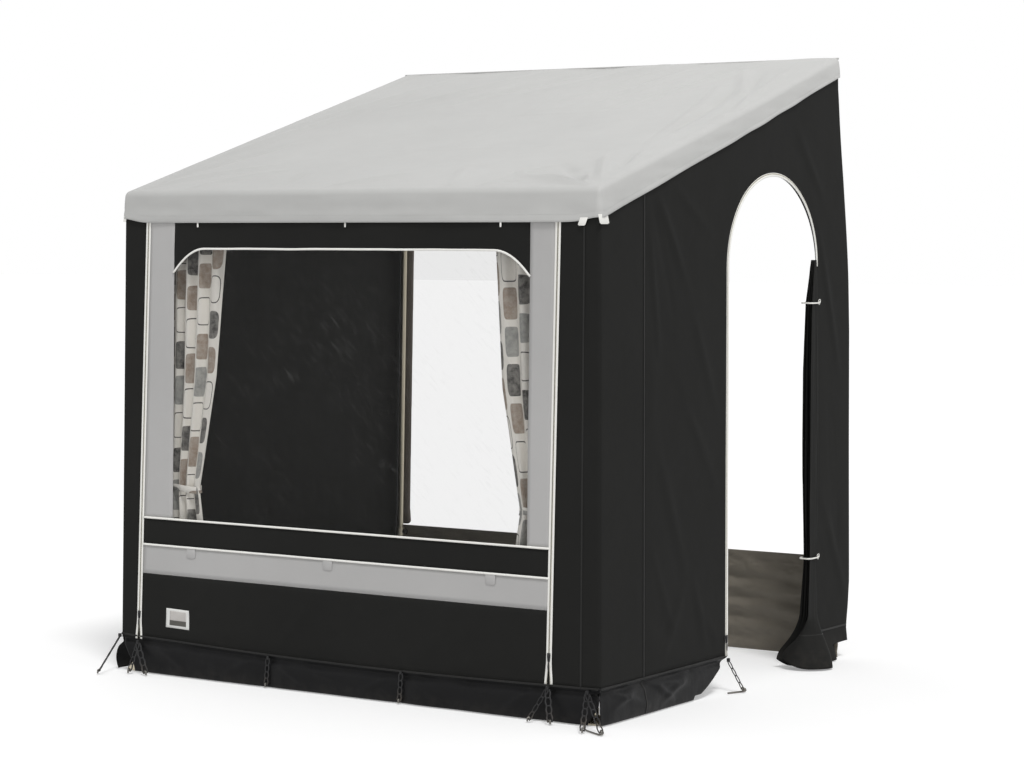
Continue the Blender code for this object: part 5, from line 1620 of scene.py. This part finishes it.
def door_flap_grid():
    """The gathered door: one sheet laid to and fro in seven layers between its back edge and its front edge,
    as deep as a cosine says. Near the ground its front edge swings inwards and lifts, its back edge swings
    outwards, and the outermost layer swells over the rest on half a sine."""
    share = np.linspace(0, 1, 240)
    z = np.concatenate([np.linspace(0.006, 0.30, 34)[:-1], np.linspace(0.30, FLAP_TOP, 76)])[:, None]
    half, reach, back = flap_size(z)
    phase = np.pi * (DOOR_LAYERS * share + 0.12 * rumple(share * 4, z, 0.9, 51.0) * np.sin(np.pi * share))
    depth = 0.90 + 0.10 * rumple(share * 7, z, 0.5, 52.0)
    covered = 0.80 + 0.20 * ease((share - 0.80) / 0.10)
    fold = (0.5 - 0.5 * np.cos(phase)) * depth * covered
    low = ease((0.22 - z) / 0.22)
    swell = np.sin(np.pi * np.clip(DOOR_LAYERS * share - (DOOR_LAYERS - 1), 0, 1))
    y = back - reach * (0.04 + 0.92 * fold) - 0.044 * swell * low
    x = half * (1.82 * share - 0.91) + 0.0012 * rumple(share * 12, z, 0.2, 53.0)
    x = WIDTH + x + (0.060 - 0.185 * fold + 0.062 * swell) * low
    lifted = z + 0.050 * ease((0.13 - z) / 0.13) * ease((fold - 0.5) / 0.5) * (1 - 0.8 * swell)
    chart = at(share * DOOR_FLAT[0], z)
    return at(x, y, lifted), chart


class TENT_OT_door_flap(bpy.types.Operator):
    """The open door, gathered beside its back jamb and held by two cords."""

    bl_idname = "tent.door_flap"
    bl_label = "Gathered door"

    def execute(self, context):
        grid, chart = door_flap_grid()
        shape = patch(settle(grid), uv=chart)
        flap = make("door_flap_cloth", shape, "dark_cloth", body="door_flap",
                    stands_for=["door_flap"], thick=DOOR_CLOTH)
        row = int(np.argmin(np.abs(grid[:, -30, 2] - HEM)))
        line = settle(grid[row, -34:-2])
        across = unit(np.gradient(line, axis=0) * (1, 1, 0))
        out = at(across[:, 1], -across[:, 0], 0 * across[:, 0])
        out = out * np.sign(out[:, :1].mean())
        hem = seam(line + 0.0008 * out, out, 0.7 * context.scene.tent_trim.seam)
        made = make("door_flap_hem", hem, "seam_tape", body="door_flap")
        return {"FINISHED"}


# Ties, tabs and patch

TIE_POINTS = 65
TIE_STANDOFF = 0.0021
TIE_RISE = 0.0023


def tie_route(height):
    """Two turns of cord round the gathered door, one on the other, from the knot at its outer back corner.
    Each turn is a square with round corners, as flat-sided as a fourth power makes it."""
    half, reach, back = (float(v) for v in flap_size(np.array(height)))
    turn = np.linspace(0, 4 * np.pi, TIE_POINTS) + np.pi / 4
    side = squared(turn, 0.5)
    x = WIDTH + (half + TIE_CLEARANCE + TIE_STANDOFF) * side[0]
    y = back - reach / 2 + (reach / 2 + TIE_CLEARANCE + TIE_STANDOFF) * side[1]
    z = height + TIE_RISE * (1 - 2 * np.linspace(0, 1, TIE_POINTS))
    return settle(at(x, y, z))


class TENT_OT_door_ties(bpy.types.Operator):
    """The two white cords tied round the gathered door, each knotted at its back."""

    bl_idname = "tent.door_ties"
    bl_label = "Door ties"

    def execute(self, context):
        for name, height in (("upper", TIE_UPPER), ("lower", TIE_LOWER)):
            route = tie_route(height)
            cord = make(f"door_tie_{name}_cord", [sweep(route, disc(0.0019, 10))], "white_cord",
                        body="door_flap", stands_for=[f"door_tie_{name}"])
            knot = make(f"door_tie_{name}_knot", self.knot(route[0]), "white_cord", body="door_flap")
        return {"FINISHED"}

    def knot(self, place):
        """A small overhand knot drawn as a round bead with two short loops."""
        turn = circle(24)
        loops = []
        for lean in (-0.9, 0.9):
            ring = 0.0055 * at(0.35 * np.sin(turn), -1.0 - np.cos(turn), np.sin(turn))
            ring = ring @ np.array(Matrix.Rotation(lean, 3, "X")).T
            loops.append(sweep(place + ring + (0.0034, 0, 0), disc(0.0014, 8), up=(1, 0, 0), closed=True))
        profile = [(0, 0.001), (0.001, 0.003), (0.003, 0.0042), (0.005, 0.0030), (0.006, 0.001)]
        return loops + [turned(place + (0.0008, 0, -0.0002), (1, 0, 0), profile, 20)]


LOOP_PLACES = (0.369, 1.066, 1.746)
GREY_TAB_PLACES = (0.349, 1.000, 1.718)
PATCH_LOW, PATCH_HIGH = 0.181, 0.257
PATCH_LEFT, PATCH_RIGHT = 0.233, 0.342
PATCH_PARTS = (
    ("border", 0.0, 0.0, 1.0, 0.0010, 0.0008, "label"),
    ("panel", 0.015, 0.40, 0.88, 0.0017, 0.0005, "patch_panel"),
    ("field", 0.015, 0.14, 0.40, 0.0017, 0.0005, "patch_field"),
)


class TENT_OT_fittings(bpy.types.Operator):
    """Small sewn things on the front: the blank patch, white tabs and loops at the valance, and grey tabs."""

    bl_idname = "tent.fittings"
    bl_label = "Patch and tabs"

    def execute(self, context):
        belly = context.scene.tent_cloth.belly
        self.patch(belly)
        front, side = ((1.0, 0, 0), (0, 0, 1.0)), ((0, 1.0, 0), (0, 0, 1.0))
        loops = [self.tab((x, -0.0024, FRONT_FOOT - 0.017), 0.0075, 0.022, front) for x in LOOP_PLACES]
        loops.append(self.tab((2.082, -0.0060, FRONT_FOOT - 0.012), 0.030, 0.028, front, 0.35))
        loops.append(self.tab((0.006, -0.0060, FRONT_FOOT + 0.004), 0.014, 0.022, front, 0.2))
        loops.append(self.tab((WIDTH + 0.0055, 0.020, SIDE_FOOT[0] - 0.018), 0.060, 0.034, side, -0.3))
        make("white_tabs", loops, "piping")
        tabs = []
        for x in GREY_TAB_PLACES:
            y = -float(front_out(x, 0.47, belly)) - 0.0012
            tabs.append(self.tab((x, y, LOWER_PIPING - 0.040), 0.042, 0.036, front))
        make("grey_tabs", tabs, "grey_cloth")
        return {"FINISHED"}

    def tab(self, foot, width, height, facing, lean=0.0):
        """A sewn tab: a rounded flag that hangs over its foot, leaning to one side."""
        right, up = facing
        half = width / 2
        outline = [(-half, 0.12 * height), (-0.7 * half, 0), (0.7 * half, 0), (half, 0.12 * height),
                   (half + lean * height, height), (-half + lean * height, height)]
        shape = plate(outline, np.array(foot), right, up, 0.0014, 0.0005)
        return settled(shape, drift=right[0] > 0)

    def patch(self, belly):
        """A blank patch: a pale sewn border round a field in two greys."""
        made, shapes = [], []
        for name, inset, foot, top, out, thick, finish in PATCH_PARTS:
            x = np.linspace(PATCH_LEFT + inset, PATCH_RIGHT - inset, 20)
            z = (PATCH_LOW + (PATCH_HIGH - PATCH_LOW) * np.linspace(foot, top, 14))[:, None]
            shapes.append(patch(front_line(x, z, belly, out), uv=at(x, z)))
            made.append(make(f"patch_{name}", shapes[-1], finish, thick=thick))


# Frame

NODE_FINISHES = (
    ("pole_rear_", "galvanised_tube"),
    ("leg_front_", "galvanised_tube"),
    ("rafter_", "galvanised_tube"),
    ("eaves_rail_", "galvanised_tube"),
    ("curtain_rail", "galvanised_tube"),
    ("clamp_knob_", "black_plastic"),
    ("corner_joint_", "black_plastic"),
)


def foot_shape(x, y):
    """A pressed foot: a square rim that narrows in a soft pyramid to a round neck. Each ring's outline is a
    square with rounded corners, rounder from ring to ring, and turns into a circle."""
    rings = ((0.0006, 0.0235, 0.28), (0.0004, 0.0245, 0.28), (0.0020, 0.0250, 0.28), (0.0036, 0.0240, 0.30),
             (0.0050, 0.0215, 0.32), (0.0160, 0.0175, 0.38), (0.0280, 0.0125, 0.55), (0.0360, 0.0100, 0.8),
             (0.0400, 0.0092, 1.0), (0.0570, 0.0092, 1.0), (0.0575, 0.0086, 1.0))
    turn = circle(40)
    points = []
    for height, half, power in rings:
        across, ahead = squared(turn, power)
        points.append(at(x + half * across, y + half * ahead, height))
    return patch(settle(np.array(points)), around=True, caps=True)


def ladder_shapes(start, end, across, slots):
    """A moulded rubber ladder: two rails, which bow out between rungs on a cosine, and the rungs."""
    start, end = np.array(start, float), np.array(end, float)
    along = unit(end - start)
    across = np.array(across, float)
    across = unit(across - across.dot(along) * along)
    normal = np.cross(along, across)
    length = np.linalg.norm(end - start)
    share = np.linspace(0, 1, 12 * slots + 1)
    bow = 0.5 - 0.5 * np.cos(2 * np.pi * slots * share)
    rail, thick, spread, swell = 0.0050, 0.0036, 0.0062, 0.0022
    shapes = []
    for side in (-1, 1):
        offset = side * (spread + swell * bow)
        path = start + share[:, None] * length * along + offset[:, None] * across
        shapes.append(sweep(path, disc(rail / 2, 10, thick / rail), up=normal))
    for place in np.linspace(0, 1, slots + 1):
        middle = start + (place * (length - 0.004) + 0.002) * along
        path = middle + np.linspace(-0.0066, 0.0066, 3)[:, None] * across
        shapes.append(sweep(path, disc(0.0026, 10, 0.66), up=normal))
    return shapes


def hook_shapes(middle, across, size):
    """A strap's ribbed head: a rounded block whose width swells at its ribs, as the root of a cosine says."""
    middle, across = np.array(middle, float), unit(np.array(across, float))
    turn = circle(24)
    outline = squared(turn, 0.6)
    profile = at(outline[0] * size * 0.46, outline[1] * size * 0.40)
    share = np.linspace(0, 1, 31)
    ribs = 0.86 + 0.14 * np.abs(np.cos(3 * np.pi * share)) ** 0.5
    rim = 1 - 0.35 * np.clip(1 - np.minimum(share, 1 - share) / 0.08, 0, 1) ** 2
    path = middle + (0.5 - share)[:, None] * np.array((0, 0, size))
    out = np.cross(across, (0, 0, 1.0))
    return [sweep(path, profile, up=out, sizes=ribs * rim)]


def wire(points, radius):
    """Bent steel wire through a few points, rounded at its bends by sampling a smooth curve between them."""
    points = np.array(points, float)
    fine = np.linspace(0, len(points) - 1, 12 * (len(points) - 1) + 1)
    slopes = np.gradient(points, axis=0)
    index = np.clip(np.floor(fine).astype(int), 0, len(points) - 2)
    t = (fine - index)[:, None]
    p0, p1, m0, m1 = points[index], points[index + 1], 0.5 * slopes[index], 0.5 * slopes[index + 1]
    path = (2 * t**3 - 3 * t**2 + 1) * p0 + (t**3 - 2 * t**2 + t) * m0
    path = path + (3 * t**2 - 2 * t**3) * p1 + (t**3 - t**2) * m1
    return sweep(path, disc(radius, 12))


def front_straps():
    """Each strap's name, hook, feet, width direction, slots and whether it follows the seams."""
    half = STRAP_HOOK_SIZE / 2
    straps = []
    for side, x in (("left", 0.724), ("right", 1.335)):
        hook = (x, -STRAP_STANDOFF - 0.002, STRAP_HOOK_HEIGHT - 0.004)
        straps.append((f"middle_{side}", hook, [(x, -0.0128, STRAP_FOOT_HEIGHT)], (1, 0, 0), 4, True))
    for side, x, reaches in (("left", ZIP_LEFT, (0.0, 0.065)), ("right", ZIP_RIGHT, (-0.055, 0.035))):
        hook = (x, -STRAP_STANDOFF - half, STRAP_HOOK_HEIGHT)
        feet = [(x + reach, -0.055, STRAP_FOOT_HEIGHT) for reach in reaches]
        straps.append((f"zip_{side}", hook, feet, (1, 0.1, 0), 4, True))
    hook = (0, -STRAP_STANDOFF - half, HEM + GAP + half)
    straps.append(("corner_left", hook, [(0, -0.128, STRAP_FOOT_HEIGHT)], (0.77, -0.64, 0), 5, False))
    hook = (WIDTH - 0.045, -STRAP_STANDOFF - half, STRAP_HOOK_HEIGHT)
    feet = [(WIDTH - 0.045 + reach, -0.128, STRAP_FOOT_HEIGHT) for reach in (0.055, 0.130)]
    straps.append(("corner_right", hook, feet, (0.7, 0.7, 0), 5, False))
    hook = (WIDTH + STRAP_STANDOFF + half, DOOR_FRONT, HEM - 2 * half)
    straps.append(("door", hook, [(WIDTH + 0.070, DOOR_FRONT, STRAP_FOOT_HEIGHT)], (0, 1, 0), 4, False))
    return straps


PEG_RADIUS = 0.0032
ROD_RADIUS = 0.0034
STIRRUP_RADIUS = 0.0030
PEG_BENDS = ((0.0042, 0.004), (0.016, 0.004), (0.0185, -0.004), (0.0125, -0.009))
DOOR_ROD = (
    (WIDTH + 0.070, DOOR_FRONT + 0.012, 0.014), (WIDTH + 0.068, DOOR_FRONT + 0.020, 0.005),
    (WIDTH + 0.060, DOOR_FRONT - 0.002, 0.0036), (WIDTH + 0.037, DOOR_FRONT - 0.056, 0.0036),
)
STIRRUP = (
    (2.128, -0.070, 0.018), (2.138, -0.078, 0.006), (2.155, -0.088, 0.0036), (2.190, -0.108, 0.0036),
    (2.226, -0.126, 0.0036), (2.232, -0.112, 0.006), (2.222, -0.100, 0.014),
)


class TENT_OT_straps(bpy.types.Operator):
    """The rubber ladder straps with their ribbed heads, and the bent pegs that hold them to the ground."""

    bl_idname = "tent.straps"
    bl_label = "Straps and pegs"

    def execute(self, context):
        pegs = []
        for name, hook, feet, across, slots, drift in front_straps():
            flat = name.startswith("middle")
            size = 0.011 if flat else STRAP_HOOK_SIZE
            shapes = hook_shapes(hook, (0, 1, 0) if name == "door" else (1, 0, 0), size)
            for foot in feet:
                start = np.array(hook) - (0, 0, 0.3 * size)
                shapes += ladder_shapes(start, foot, across, slots)
                pegs.append(self.peg(np.array(foot), np.array(foot) - start, drift))
            moved = [settled(shape, drift) for shape in shapes]
            make(f"strap_{name}_detail", moved, "strap_rubber", body=f"strap_{name}",
                 stands_for=[f"strap_{name}"])
        pegs += [settled(wire(DOOR_ROD, ROD_RADIUS)), settled(wire(STIRRUP, STIRRUP_RADIUS))]
        make("pegs", pegs, "peg_steel")
        return {"FINISHED"}

    def peg(self, foot, run, drift):
        """A peg's head above the ground: a bent rod that hooks over the strap's last rung."""
        level = unit(run * (1, 1, 0)) if np.linalg.norm(run[:2]) > 0.004 else np.array((0, -1.0, 0))
        points = [foot * (1, 1, 0) + (0, 0, height) + level * ahead for height, ahead in PEG_BENDS]
        return settled(wire(points, PEG_RADIUS), drift)


class TENT_OT_frame(bpy.types.Operator):
    """Finishes for the frame's own tubes and fittings, and the pressed rear feet."""

    bl_idname = "tent.frame"
    bl_label = "Frame"

    def execute(self, context):
        for name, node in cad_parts.items():
            for start, finish in NODE_FINISHES:
                if name.startswith(start):
                    for slot in node.material_slots:
                        slot.material = bpy.data.materials[f"{finish}_finish"]
        for side, x in (("left", TUBE_INSET), ("right", WIDTH - TUBE_INSET)):
            make(f"foot_rear_{side}_detail", foot_shape(x, LEG_BACK), "foot_metal",
                 stands_for=[f"foot_rear_{side}"])
        return {"FINISHED"}


# Stage

CAMERA_PLACE = (5.96224, -8.63572, 1.72484)
CAMERA_TURNS = (34.032, -3.374, 0.089)
FOCAL_LENGTH = 95.26
FLOOR_REACH = 60
FLOOR_DROP = 0.001
FLOOR_GLOW = 0.28
SKY_LIGHT = 0.55
SKY_SEEN = 1.0
KEY_ENERGY = 1.63
KEY_SPREAD = math.radians(14)
KEY_TOWARDS = (0.386, -0.309, 0.869)


class TENT_OT_finishes(bpy.types.Operator):
    """Makes every finish from the panel's colours."""

    bl_idname = "tent.finishes"
    bl_label = "Finishes"

    def execute(self, context):
        make_finishes(context.scene.tent_colours)
        return {"FINISHED"}


class TENT_OT_stage(bpy.types.Operator):
    """A plain pale floor, soft studio light and a camera at the photograph's viewing angle."""

    bl_idname = "tent.stage"
    bl_label = "Stage, light and camera"

    def execute(self, context):
        scene = context.scene
        scene.view_settings.view_transform = "Standard"
        self.camera(scene)
        self.floor(scene)
        self.world(scene)
        self.lamp(scene)
        return {"FINISHED"}

    def camera(self, scene):
        """A long lens to the right of the front, level with the eaves."""
        lens = bpy.data.cameras.new("photo_view")
        lens.lens, lens.sensor_width = FOCAL_LENGTH, 36.0
        lens.clip_end = 200
        made = bpy.data.objects.new("photo_view", lens)
        turn, tilt, roll = (math.radians(angle) for angle in CAMERA_TURNS)
        aim = Matrix.Rotation(turn, 4, "Z") @ Matrix.Rotation(math.pi / 2 + tilt, 4, "X")
        made.matrix_world = Matrix.Translation(CAMERA_PLACE) @ aim @ Matrix.Rotation(-roll, 4, "Z")
        scene.collection.objects.link(made)
        scene.camera = made

    def seen(self, graph):
        """One where a ray comes from the camera, a mirror or glass."""
        rays = graph.node("ShaderNodeLightPath").outputs
        seen = graph.math("MAXIMUM", rays["Is Camera Ray"], rays["Is Glossy Ray"])
        return graph.math("MAXIMUM", seen, rays["Is Transmission Ray"])

    def floor(self, scene):
        """A wide floor, white to the camera, that still takes the tent's shadow."""
        graph, shader = new_finish("floor_white", Base_Color=(0.8, 0.8, 0.8, 1), Roughness=0.9)
        shader.inputs["Specular IOR Level"].default_value = 0.1
        seen = self.seen(graph)
        glow = graph.times(seen, FLOOR_GLOW)
        graph.link(graph.even(glow), shader.inputs["Emission Color"])
        shader.inputs["Emission Strength"].default_value = 1.0
        mesh = bpy.data.meshes.new("floor")
        square = ((-1, -1), (1, -1), (1, 1), (-1, 1))
        mesh.from_pydata([(FLOOR_REACH * x, FLOOR_REACH * y, -FLOOR_DROP) for x, y in square], [], [range(4)])
        mesh.materials.append(bpy.data.materials["floor_white_finish"])
        made = bpy.data.objects.new("floor", mesh)
        scene.collection.objects.link(made)

    def world(self, scene):
        """An even sky that is white wherever it is seen or mirrored."""
        made = bpy.data.worlds.new("pale_sky")
        made.use_nodes = True
        graph = Graph(made.node_tree)
        seen = self.seen(graph)
        strength = graph.scaled(seen, SKY_SEEN - SKY_LIGHT, SKY_LIGHT)
        background = made.node_tree.nodes["Background"]
        background.inputs["Color"].default_value = (1, 1, 1, 1)
        graph.link(strength, background.inputs["Strength"])
        scene.world = made

    def lamp(self, scene):
        """A soft sun that stands to the right of the front and high up."""
        light = bpy.data.lights.new("key_light", "SUN")
        light.energy, light.angle = KEY_ENERGY, KEY_SPREAD
        made = bpy.data.objects.new("key_light", light)
        made.rotation_euler = Vector(KEY_TOWARDS).to_track_quat("Z", "Y").to_euler()
        scene.collection.objects.link(made)


# Panel

OPERATORS = (
    TENT_OT_stage,
    TENT_OT_finishes,
    TENT_OT_door_ties,
    TENT_OT_roof,
    TENT_OT_walls,
    TENT_OT_front,
    TENT_OT_window,
    TENT_OT_zips,
    TENT_OT_mud_flaps,
    TENT_OT_curtains,
    TENT_OT_back,
    TENT_OT_door_flap,
    TENT_OT_fittings,
    TENT_OT_straps,
    TENT_OT_frame,
)
GROUPS = (("tent_colours", TentColours), ("tent_cloth", TentCloth), ("tent_trim", TentTrim))


class TENT_PT_panel(bpy.types.Panel):
    """The tent's values and the operators that make its pieces, in their order."""

    bl_label = "Porch tent"
    bl_idname = "TENT_PT_panel"
    bl_space_type = "VIEW_3D"
    bl_region_type = "UI"
    bl_category = "Porch tent"

    def draw(self, context):
        for name, values in GROUPS:
            box = self.layout.box()
            for value in values.__annotations__:
                box.prop(getattr(context.scene, name), value)
        for kind in OPERATORS:
            self.layout.operator(kind.bl_idname)


def register():
    """Registers the values, the operators and the panel."""
    for name, values in GROUPS:
        bpy.utils.register_class(values)
        setattr(bpy.types.Scene, name, bpy.props.PointerProperty(type=values))
    for kind in (*OPERATORS, TENT_PT_panel):
        bpy.utils.register_class(kind)


def unregister():
    """Takes the panel, the operators and the values out again."""
    for kind in (TENT_PT_panel, *reversed(OPERATORS)):
        bpy.utils.unregister_class(kind)
    for name, values in reversed(GROUPS):
        delattr(bpy.types.Scene, name)
        bpy.utils.unregister_class(values)


def main():
    register()
    for kind in OPERATORS:
        group_name, name = kind.bl_idname.split(".")
        getattr(getattr(bpy.ops, group_name), name)()


if __name__ == "__main__":
    main()
